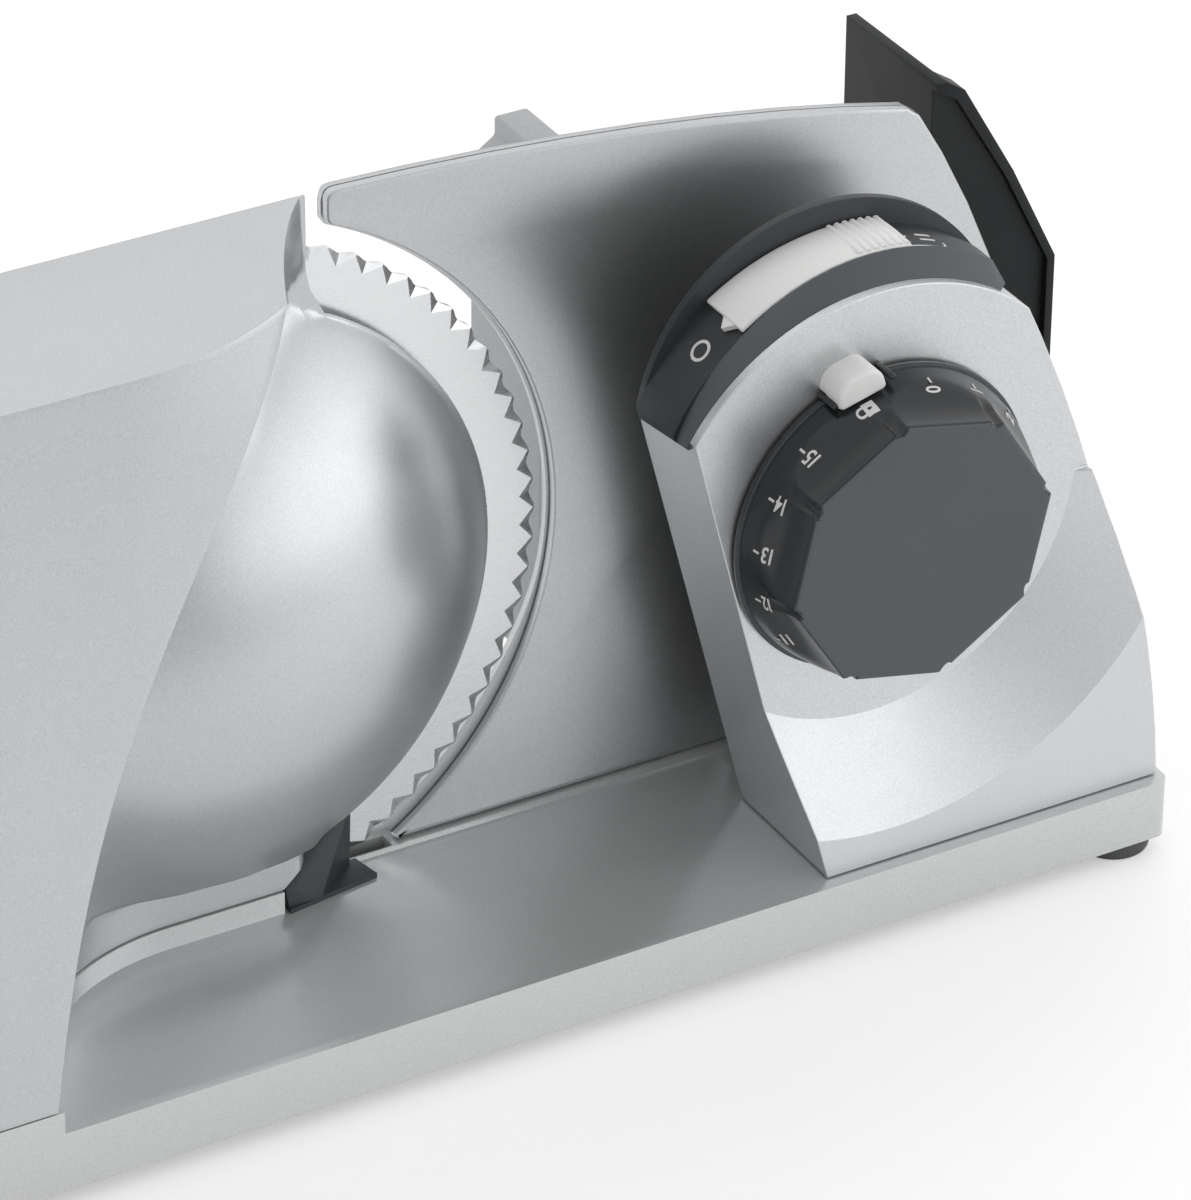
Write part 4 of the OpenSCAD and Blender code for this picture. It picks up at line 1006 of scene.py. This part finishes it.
class SLICER_OT_switch(bpy.types.Operator):
    """Builds the switch drum with its marks and the white slider"""

    bl_idname = "slicer.switch"
    bl_label = "Switch"

    def execute(self, context):
        self.make_drum()
        self.make_marks()
        self.make_slider()
        ribs = ring_row(
            "slider_grips", DRUM_AXIS, SLIDER_MIDDLE, 56.48, 80.3, 2.0, context.scene.slicer_sizes.grip_ribs,
            (0.8, 13.4, 1.3), 0, "white_plastic")
        place(ribs, "white_plastic", "slider", [])
        return {"FINISHED"}

    def make_drum(self):
        """The drum, with its tips cut off, and a satin band round its front, its colour painted lighter than the drum's
        for the light that the band catches facing the front and up.
        """
        drum = copy_of("switch_drum", "drum")
        with Editing(drum.data) as shape:
            for spot, slope, sight in DRUM_CUTS:
                cut = bmesh.ops.bisect_plane(
                    shape, geom=shape.verts[:] + shape.edges[:] + shape.faces[:], dist=1e-7, plane_co=at(*spot),
                    plane_no=Vector(slope).cross(Vector(sight)), clear_outer=True)
                rim = [part for part in cut["geom_cut"] if isinstance(part, bmesh.types.BMEdge)]
                bmesh.ops.holes_fill(shape, edges=rim)
            bmesh.ops.recalc_face_normals(shape, faces=shape.faces)
        round_edges(drum, 0.4 * MM)
        smooth(drum)
        place(drum, "dark_plastic", "frame", ["switch_drum"])
        # The band's faces that look outwards take the lighter copy of the dark plastic: painted light
        drum.data.materials.append(finish("knob_face"))
        axis, band_back = at(DRUM_AXIS[0], 0, DRUM_AXIS[1]), at(0, DRUM_BAND_BACK, 0).y
        for face in drum.data.polygons:
            outward = face.normal.x * (face.center.x - axis.x) + face.normal.z * (face.center.z - axis.z) > 0
            face.material_index = 1 if outward and abs(face.normal.y) < 0.9 and face.center.y < band_back else 0

    def make_marks(self):
        """The off ring, the two-step marks and the line that leads to them."""
        ring = filled_mark(circle_points(2.6), circle_points(1.85))
        bar = filled_mark(bar_points(-0.33, -1.95, 0.33, 1.95))
        short = filled_mark(bar_points(-0.33, -1.5, 0.33, 1.5))
        line = filled_mark([
            (-0.2, 5.6), (-0.2, -4.6), (0.25, -5.6), (1.1, -6.1), (2.3, -6.2), (2.3, -5.75), (1.2, -5.65),
            (0.55, -5.25), (0.25, -4.5), (0.25, 5.6)])
        marks = [
            (*ring, 133.7, 29.0), (*bar, 70.6, 31.0), (*bar, 70.6, 28.7), (*short, 77.4, 30.0), (*line, 73.2, 25.4)]
        piece = wrapped_marks("switch_marks", marks, DRUM_AXIS, lambda angle, y: DRUM_FLOOR)
        place(piece, "print_white", "frame", [])

    def make_slider(self):
        """A thin curved tile with a small arrow at its off end and the peg that works the switch."""
        angles = np.radians(np.linspace(SLIDER_FIRST, SLIDER_LAST, 48))
        depths = np.linspace(SLIDER_FRONT, SLIDER_BACK, 15)
        crowns = SLIDER_CROWN * (1 - ((depths - SLIDER_MIDDLE) / (SLIDER_BACK - SLIDER_MIDDLE)) ** 2)
        points = [around(DRUM_AXIS, SLIDER_TOP + crown, a, y) for a in angles for y, crown in zip(depths, crowns)]
        points += [around(DRUM_AXIS, SLIDER_UNDER, a, y) for a in angles for y in depths]
        rows, columns = len(angles), len(depths)
        half, rim = rows * columns, grid_rim(rows, columns)
        faces = grid_faces(rows, columns) + [face[::-1] for face in grid_faces(rows, columns, half)]
        faces += [(rim[k], rim[k - 1], rim[k - 1] + half, rim[k] + half) for k in range(len(rim))]
        piece = mesh_piece("slider", points, faces)
        round_edges(piece, 0.4 * MM, 3, 45)
        with Editing(piece.data) as shape:
            for low, high in (self.arrow_layers(), self.peg_layers()):
                self.add_prism(shape, low, high)
            bmesh.ops.recalc_face_normals(shape, faces=shape.faces)
        smooth(piece, 35)
        place(piece, "white_plastic", "slider", ["switch_slider"])

    def arrow_layers(self):
        corners = ((SLIDER_LAST - 0.6, 24.2), (SLIDER_LAST - 0.6, 29.8), (SLIDER_LAST + 2.4, 27.0))
        return [[around(DRUM_AXIS, radius, math.radians(a), y) for a, y in corners] for radius in (SLIDER_UNDER, 56.2)]

    def peg_layers(self):
        out = Vector((math.cos(PEG_ANGLE), 0, math.sin(PEG_ANGLE)))
        side = Vector((-math.sin(PEG_ANGLE), 0, math.cos(PEG_ANGLE)))
        middle = Vector((DRUM_AXIS[0], SLIDER_MIDDLE, DRUM_AXIS[1]))
        turns = [2 * math.pi * k / PEG_SIDES for k in range(PEG_SIDES)]
        return [
            [middle + out * radius + side * PEG_RADIUS * math.cos(a) + Vector((0, PEG_RADIUS * math.sin(a), 0))
             for a in turns] for radius in (47.0, 55.4)]

    def add_prism(self, shape, low, high):
        """Adds a closed prism between two outlines of places in millimetres."""
        low, high = ([shape.verts.new(at(*spot)) for spot in layer] for layer in (low, high))
        shape.faces.new(low)
        shape.faces.new(high)
        for k in range(len(low)):
            shape.faces.new((low[k - 1], low[k], high[k], high[k - 1]))


# Thickness dial

DIAL_FRONT, DIAL_RIM = -5.0, 36.6
DIAL_STEPS = 480
DIAL_FIRST_CORNER, DIAL_EIGHTH = math.radians(10.0), math.pi / 4
# Depths along the dial's side and the cone's radius there
DIAL_CONE = (DIAL_FRONT, 4.0, 11.5), (33.0, 34.2, 35.8)
FLAT_RADIUS, FLAT_RISE, FLAT_LENGTH, FLAT_BLEND = 30.3, 4.1, 11.0, 0.9
GROOVE_BACK, GROOVE_MIDDLE, GROOVE_HALF, GROOVE_DEPTH = 4.0, 1.2, 1.5, 0.95
# Depth and radius round the dial's rim, from its back to the start of its side
DIAL_RIM_ROWS = (
    (13.3, 34.0), (13.3, 36.1), (13.1, 36.5), (12.8, DIAL_RIM), (12.2, DIAL_RIM), (11.95, 36.35), (11.85, 35.2),
    (11.5, 35.15))
# How far the dial's front edge is drawn in, and how far it stands back there
DIAL_FRONT_EDGE = ((0.1, 0.32), (0.32, 0.1), (0.75, 0.0), (1.6, 0.0))
NUMBER_ZERO, NUMBER_STEP, NUMBER_LAST = 77.7, -20.32, 15
NUMBERS_END = 5.7
LOCK_ANGLE, LOCK_MIDDLE = 106.5, 4.5
POINTER_ANGLE, POINTER_FOOT = math.radians(105.0), 36.05
POINTER_HALF, POINTER_TALL = 5.9, 6.0
POINTER_LOW_ROUND, POINTER_HIGH_ROUND = 1.1, 4.4
# Depth, foot and inset of the pointer's outline, from its back to its front
POINTER_ROWS = (
    (13.8, 1.0, 0), (11.65, 1.0, 0), (11.4, -0.5, 0), (7.0, -0.5, 0), (6.4, -0.5, 0.18), (6.1, -0.5, 0.5),
    (6.0, -0.5, 1.0))
# Radius and depth round a nub, its width in degrees, and where each nub begins
NUB_OUTLINE, NUB_WIDTH = ((36.8, 7.0), (37.8, 7.0), (37.8, 13.8), (36.8, 13.8)), 2.4
NUBS = {"pointer_stop_right": 91.2, "pointer_stop_left": 113.6}


def dial_radius(angle, y):
    """Radius of the dial's side: a cone with eight flats that run out towards the rim, and a groove at each corner."""
    from_corner = (angle - DIAL_FIRST_CORNER) % DIAL_EIGHTH
    flat = FLAT_RADIUS + FLAT_RISE * ((y - DIAL_FRONT) / FLAT_LENGTH) ** 2
    radius = soft_min(np.interp(y, *DIAL_CONE), flat / math.cos(from_corner - DIAL_EIGHTH / 2), FLAT_BLEND)
    beside = (min(from_corner, from_corner - DIAL_EIGHTH, key=abs) * radius - GROOVE_MIDDLE) / GROOVE_HALF
    share = min(max((GROOVE_BACK - y) / GROOVE_BACK, 0.0), 1.0)
    return radius - GROOVE_DEPTH * share * max(0.0, 1 - beside * beside) ** 0.6


class SLICER_OT_dial(bpy.types.Operator):
    """Builds the thickness dial, its numbers and ticks, and the white pointer"""

    bl_idname = "slicer.dial"
    bl_label = "Thickness dial"

    def execute(self, context):
        self.make_dial()
        self.make_numbers(context.scene.slicer_sizes.mark_height / MM)
        ticks = ring_row(
            "dial_ticks", DIAL_AXIS, 7.0, 34.89, NUMBER_ZERO, NUMBER_STEP, NUMBER_LAST + 1, (0.24, 1.6, 0.6), -12,
            "print_white")
        place(ticks, "print_white", "dial", [])
        self.make_pointer()
        self.make_nubs()
        return {"FINISHED"}

    def make_dial(self):
        angles = np.arange(DIAL_STEPS) * 2 * math.pi / DIAL_STEPS
        layers = [[(r, y) for _ in angles] for y, r in DIAL_RIM_ROWS]
        for y in (11.42, *np.linspace(11.2, DIAL_FRONT + 0.7, 34)):
            layers.append([(dial_radius(a, y), y) for a in angles])
        for inset, rise in DIAL_FRONT_EDGE:
            layers.append([(dial_radius(a, DIAL_FRONT) - inset, DIAL_FRONT + rise) for a in angles])
        piece = layered("dial_knob_shell", [
            [around(DIAL_AXIS, r, a, y) for a, (r, y) in zip(angles, layer)] for layer in layers])
        smooth(piece, 35)
        place(piece, "dark_gloss", "dial", ["dial_ring", "dial_knob"])
        # The faces that look straight to the front take the lighter copy of the dark plastic: painted light
        piece.data.materials.append(finish("knob_face"))
        for face in piece.data.polygons:
            face.material_index = 1 if face.normal.y < -0.97 else 0

    def make_numbers(self, height):
        """The numbers and the lock sign, laid on the dial's side and read from the front towards the rim."""
        marks = []
        for number in range(NUMBER_LAST + 1):
            corners, faces = number_mark(number, height)
            marks.append((corners, faces, NUMBER_ZERO + NUMBER_STEP * number, NUMBERS_END - corners[:, 0].max()))
        slot = arc_points(0.22, math.pi, 2 * math.pi, 7, -1.25)
        eye = arc_points(0.42, -math.pi / 3, 4 * math.pi / 3, 14, -0.75)
        body = filled_mark(bar_points(-1.65, -2.4, 1.65, 0.5), slot + eye)
        outer, inner = arc_points(1.25, 0, math.pi, 15, 1.2), arc_points(0.72, math.pi, 0, 15, 1.2)
        bow = filled_mark([(1.25, 0.4), *outer, (-1.25, 0.4), (-0.72, 0.4), *inner, (0.72, 0.4)])
        marks += [(*body, LOCK_ANGLE, LOCK_MIDDLE), (*bow, LOCK_ANGLE, LOCK_MIDDLE)]
        piece = wrapped_marks("dial_numbers", marks, DIAL_AXIS, dial_radius)
        place(piece, "print_white", "dial", [])

    def make_pointer(self):
        """A rounded tab on the housing that reaches over the dial's rim."""
        piece = layered("pointer", [self.pointer_outline(*row) for row in POINTER_ROWS])
        smooth(piece, 45)
        place(piece, "white_plastic", "frame", ["index_pointer"])

    def pointer_outline(self, y, foot, inset):
        out = Vector((math.cos(POINTER_ANGLE), math.sin(POINTER_ANGLE)))
        side = Vector((-math.sin(POINTER_ANGLE), math.cos(POINTER_ANGLE)))
        low, high = POINTER_LOW_ROUND, POINTER_HIGH_ROUND
        spots = []
        for across, up, radius, start in (
                (POINTER_HALF - low, foot + low, low, -90), (POINTER_HALF - high, POINTER_TALL - high, high, 0),
                (high - POINTER_HALF, POINTER_TALL - high, high, 90), (low - POINTER_HALF, foot + low, low, 180)):
            for a in np.radians(np.linspace(start, start + 90, 9)):
                t, r = across + (radius - inset) * math.cos(a), up + (radius - inset) * math.sin(a)
                spot = Vector(DIAL_AXIS) + out * (POINTER_FOOT + r) + side * t
                spots.append((spot.x, y, spot.y))
        return spots

    def make_nubs(self):
        """A small dark nub on each side of the pointer."""
        for name, first in NUBS.items():
            nub = layered(name, [
                [around(DIAL_AXIS, r, a, y) for r, y in NUB_OUTLINE]
                for a in np.radians(np.linspace(first, first + NUB_WIDTH, 4))])
            round_edges(nub, 0.35 * MM, 3, 50)
            smooth(nub)
            place(nub, "dark_gloss", "frame", [])


# Stop plate

# Depth behind the plate's front, how far the outline is drawn in there, and whether the lip along the blade
# belongs to it: a small bevel, then the line that runs round the edge
PLATE_EDGE = (
    (0, 0.9, 0), (0.12, 0.42, 0), (0.45, 0.1, 0), (0.9, 0, 0), (2.2, 0, 0), (2.25, 0.4, 0), (2.6, 0.4, 0),
    (2.65, 0, 1), (4.3, 0.06, 1), (4.7, 0.3, 1), (5.0, 0.9, 1), (5.0, 1.8, 1))
PLATE_CUT = 95.0
PLATE_CORNER = 2.6
# Width of the lip at its upper end, how much it grows downwards, and the height and length over which it grows
LIP_WIDTH, LIP_GROWTH, LIP_FROM, LIP_OVER = 0.8, 2.8, BLADE_AXIS[1] - 15, 40.0


class SLICER_OT_stop_plate(bpy.types.Operator):
    """Builds the stop plate and its bracket"""

    bl_idname = "slicer.stop_plate"
    bl_label = "Stop plate"

    def execute(self, context):
        low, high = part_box("stop_plate")
        front, thick = (low.y - CORNER.y) / MM, (high.y - low.y) / MM
        outline = with_round_corners(front_outline("stop_plate"), PLATE_CORNER)
        layers = []
        for depth, inset, lip in PLATE_EDGE:
            y = front + thick * depth / PLATE_EDGE[-1][0]
            layers.append([(x, y, z) for x, z in self.with_lip(drawn_in(outline, inset), lip)])
        piece = layered("stop_face", layers)
        smooth(piece, 30)
        place(piece, "plate_satin", "stop", ["stop_plate"])
        softened("stop_bracket", "stop_arm", "plain_steel", "stop", 0.4)
        return {"FINISHED"}

    def with_lip(self, outline, share):
        """Moves the cut round the blade towards it, further at its lower end."""
        moved = []
        for x, z in outline:
            away = Vector((x - BLADE_AXIS[0], z - BLADE_AXIS[1]))
            if away.length < PLATE_CUT:
                lip = LIP_WIDTH + LIP_GROWTH * float(smooth_step((LIP_FROM - z) / LIP_OVER))
                away *= 1 - share * lip / away.length
            moved.append((BLADE_AXIS[0] + away.x, BLADE_AXIS[1] + away.y))
        return moved


# Carriage

class SLICER_OT_carriage(bpy.types.Operator):
    """Builds the folding carriage with its rail"""

    bl_idname = "slicer.carriage"
    bl_label = "Carriage"

    def execute(self, context):
        softened("carriage_plate", "carriage_table", "light_plastic", "carriage", 0.6)
        softened("carriage_leg", "carriage_foot", "light_plastic", "carriage", 0.9)
        softened("carriage_end", "carriage_wing", "dark_matt", "carriage", 0.7)
        softened("rod_brackets", "rail_ends", "dark_plastic", "frame", 0.8)
        softened("guide_rod", "rail", "rail_steel", "frame", 0.5)
        softened("runner_sleeve", "rail_sleeve", "gear_plastic", "runner", 0.4)
        screws("carriage_screws", "carriage_bolts", "carriage")
        return {"FINISHED"}


# Inner parts

INNER_FINISHES = {
    "plain_steel": (
        "motor_shaft", "idler_axle", "blade_spindle", "dial_shaft", "follower_pin", "guide_pins", "return_springs",
        "motor_brackets", "motor_posts"),
    "bronze": ("motor_bushes", "spindle_bush", "dial_bush", "guide_bushes"),
    "gear_plastic": ("motor_pinion", "idler_gear", "blade_gear", "dial_cam"),
    "motor_iron": ("motor_stator", "motor_rotor"),
    "black_plastic": ("micro_switch",),
}


class SLICER_OT_inner_parts(bpy.types.Operator):
    """Gives the motor, gears, bushes and other inner parts their finishes"""

    bl_idname = "slicer.inner_parts"
    bl_label = "Inner parts"

    def execute(self, context):
        for name, nodes in INNER_FINISHES.items():
            for node in nodes:
                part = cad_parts[node]
                part.data.materials.clear()
                part.data.materials.append(finish(name))
        return {"FINISHED"}


# Stage

FLOOR_HALF = 6.0
# Which way the floor darkens, from where to where, and its brightness there: painted shade in the floor's colour, which
# gloss turned to the front left shows as a darker front
FLOOR_AHEAD, FLOOR_PAINTED_SHADE = (-0.35, -0.94, 0), (0.2, 0.8, 1.0, 0.5)
# The lamp's place, its size and the spot it is aimed at, in metres
LAMP_SPOT, LAMP_SIZE, LAMP_AIM = Vector((0.8, -0.5, 0.33)) * 1.7, 1.3, Vector((0, 0, 0.08))
CAMERA_SPOT = (-733.02, -1019.08, 821.39)
CAMERA_YAW, CAMERA_PITCH, CAMERA_ROLL = 29.81, 31.83, 0.41
# The focal length and the photo's long side in pixels
CAMERA_FOCUS, PHOTO_LONG_SIDE = 6654.0, 1200.0


class SLICER_OT_stage(bpy.types.Operator):
    """Sets up the white floor, the soft lamp and the camera"""

    bl_idname = "slicer.stage"
    bl_label = "Stage"

    def execute(self, context):
        stage = context.scene.slicer_stage
        self.make_floor(stage.floor_white, stage.floor_lift)
        self.make_world(context.scene, stage.sky, stage.bright)
        self.make_lamp(stage.key)
        self.make_camera(context.scene)
        context.scene.view_settings.view_transform = "Standard"
        return {"FINISHED"}

    def make_floor(self, white, lift):
        """A white floor that keeps the object's shadow, is lifted to white where it is seen and darkens far ahead with
        painted shade.
        """
        mesh = bpy.data.meshes.new("floor")
        sides = ((-1, -1), (1, -1), (1, 1), (-1, 1))
        mesh.from_pydata([(FLOOR_HALF * x, FLOOR_HALF * y, 0) for x, y in sides], [], [(0, 1, 2, 3)])
        floor = linked("floor", mesh)
        look = Look("floor_white")
        ahead = look.towards(look.add("ShaderNodeTexCoord", {}, "Object"), FLOOR_AHEAD)
        # Painted shade: the floor's colour and its lift fall to half far ahead
        painted_shade = look.ramp(ahead, *FLOOR_PAINTED_SHADE)
        rays = look.tree.nodes.new("ShaderNodeLightPath").outputs
        seen = look.math("MAXIMUM", rays["Is Camera Ray"], rays["Is Glossy Ray"])
        seen = look.math("MAXIMUM", seen, rays["Is Transmission Ray"])
        mesh.materials.append(look.done({
            "Roughness": 0.5, "Base Color": look.times(painted_shade, white), "Emission Color": (1, 1, 1, 1),
            "Emission Strength": look.times(seen, look.times(painted_shade, lift))}))

    def make_world(self, scene, strength, bright):
        """Soft light all round, brighter towards the front right, and white where the camera sees it."""
        world = bpy.data.worlds.new("studio")
        world.use_nodes = True
        sky = Nodes(world.node_tree)
        where = sky.add("ShaderNodeTexCoord", {}, "Generated")

        def side(direction, first, last):
            return sky.ramp(sky.towards(where, direction), first, last)

        right_front = sky.times(side((1, 0, 0), -0.05, 0.45), side((0, -1, 0), -0.4, 0.2))
        right_front = sky.times(right_front, side((0, 0, -1), -0.85, -0.2))
        tone = sky.math("MULTIPLY_ADD", sky.towards(where, (0, 0, 1)), 0.25, 0.55)
        tone = sky.math("MULTIPLY_ADD", right_front, bright, tone)
        tone = sky.math("MULTIPLY_ADD", side((0, 1, 0), 0.0, 0.6), 0.4, tone)
        rays = sky.tree.nodes.new("ShaderNodeLightPath").outputs
        glossy = sky.math("MAXIMUM", rays["Is Glossy Ray"], rays["Is Transmission Ray"])
        light = sky.times(tone, sky.ramp(glossy, 0.0, 1.0, strength, 1.0, "LINEAR"))
        sky.fill(sky.tree.nodes["Background"], {
            "Color": (1, 1, 1, 1), "Strength": sky.math("MAXIMUM", light, rays["Is Camera Ray"])})
        scene.world = world

    def make_lamp(self, power):
        data = bpy.data.lights.new("front_lamp", "AREA")
        data.size = LAMP_SIZE
        data.energy = power
        lamp = linked("front_lamp", data)
        lamp.location = LAMP_SPOT
        lamp.rotation_mode = "QUATERNION"
        lamp.rotation_quaternion = (LAMP_AIM - LAMP_SPOT).to_track_quat("-Z", "Y")

    def make_camera(self, scene):
        data = bpy.data.cameras.new("camera")
        data.sensor_width = 36
        data.lens = CAMERA_FOCUS / PHOTO_LONG_SIDE * data.sensor_width
        data.clip_start, data.clip_end = 0.05, 30
        yaw, pitch, roll = (math.radians(a) for a in (CAMERA_YAW, CAMERA_PITCH, CAMERA_ROLL))
        ahead = Vector((math.sin(yaw) * math.cos(pitch), math.cos(yaw) * math.cos(pitch), -math.sin(pitch)))
        right = Vector((math.cos(yaw), -math.sin(yaw), 0))
        up = right.cross(ahead)
        side = right * math.cos(roll) + up * math.sin(roll)
        top = up * math.cos(roll) - right * math.sin(roll)
        camera = linked("camera", data)
        turn = Matrix((side, top, -ahead)).transposed()
        camera.matrix_world = Matrix.Translation(at(*CAMERA_SPOT)) @ turn.to_4x4()
        scene.camera = camera


class SLICER_PT_panel(bpy.types.Panel):
    """Lists the slicer's pieces in the order they are built"""

    bl_idname = "SLICER_PT_panel"
    bl_label = "Folding food slicer"
    bl_space_type = "VIEW_3D"
    bl_region_type = "UI"
    bl_category = "Slicer"

    def draw(self, context):
        for group in ("slicer_sizes", "slicer_colours", "slicer_stage"):
            settings = getattr(context.scene, group)
            box = self.layout.box()
            for name in settings.__annotations__:
                box.prop(settings, name)
        for piece in PIECES:
            self.layout.operator(piece.bl_idname)


PIECES = (
    SLICER_OT_base, SLICER_OT_motor_housing, SLICER_OT_deflector, SLICER_OT_blade, SLICER_OT_dial_housing,
    SLICER_OT_switch, SLICER_OT_dial, SLICER_OT_stop_plate, SLICER_OT_carriage, SLICER_OT_inner_parts, SLICER_OT_stage)
GROUPS = (SlicerSizes, SlicerColours, SlicerStage)


def register():
    for item in (*GROUPS, *PIECES, SLICER_PT_panel):
        bpy.utils.register_class(item)
    bpy.types.Scene.slicer_sizes = PointerProperty(type=SlicerSizes)
    bpy.types.Scene.slicer_colours = PointerProperty(type=SlicerColours)
    bpy.types.Scene.slicer_stage = PointerProperty(type=SlicerStage)


def unregister():
    del bpy.types.Scene.slicer_stage
    del bpy.types.Scene.slicer_colours
    del bpy.types.Scene.slicer_sizes
    for item in (SLICER_PT_panel, *reversed(PIECES), *reversed(GROUPS)):
        bpy.utils.unregister_class(item)


def main():
    register()
    for piece in PIECES:
        family, name = piece.bl_idname.split(".")
        getattr(getattr(bpy.ops, family), name)()


if __name__ == "__main__":
    main()
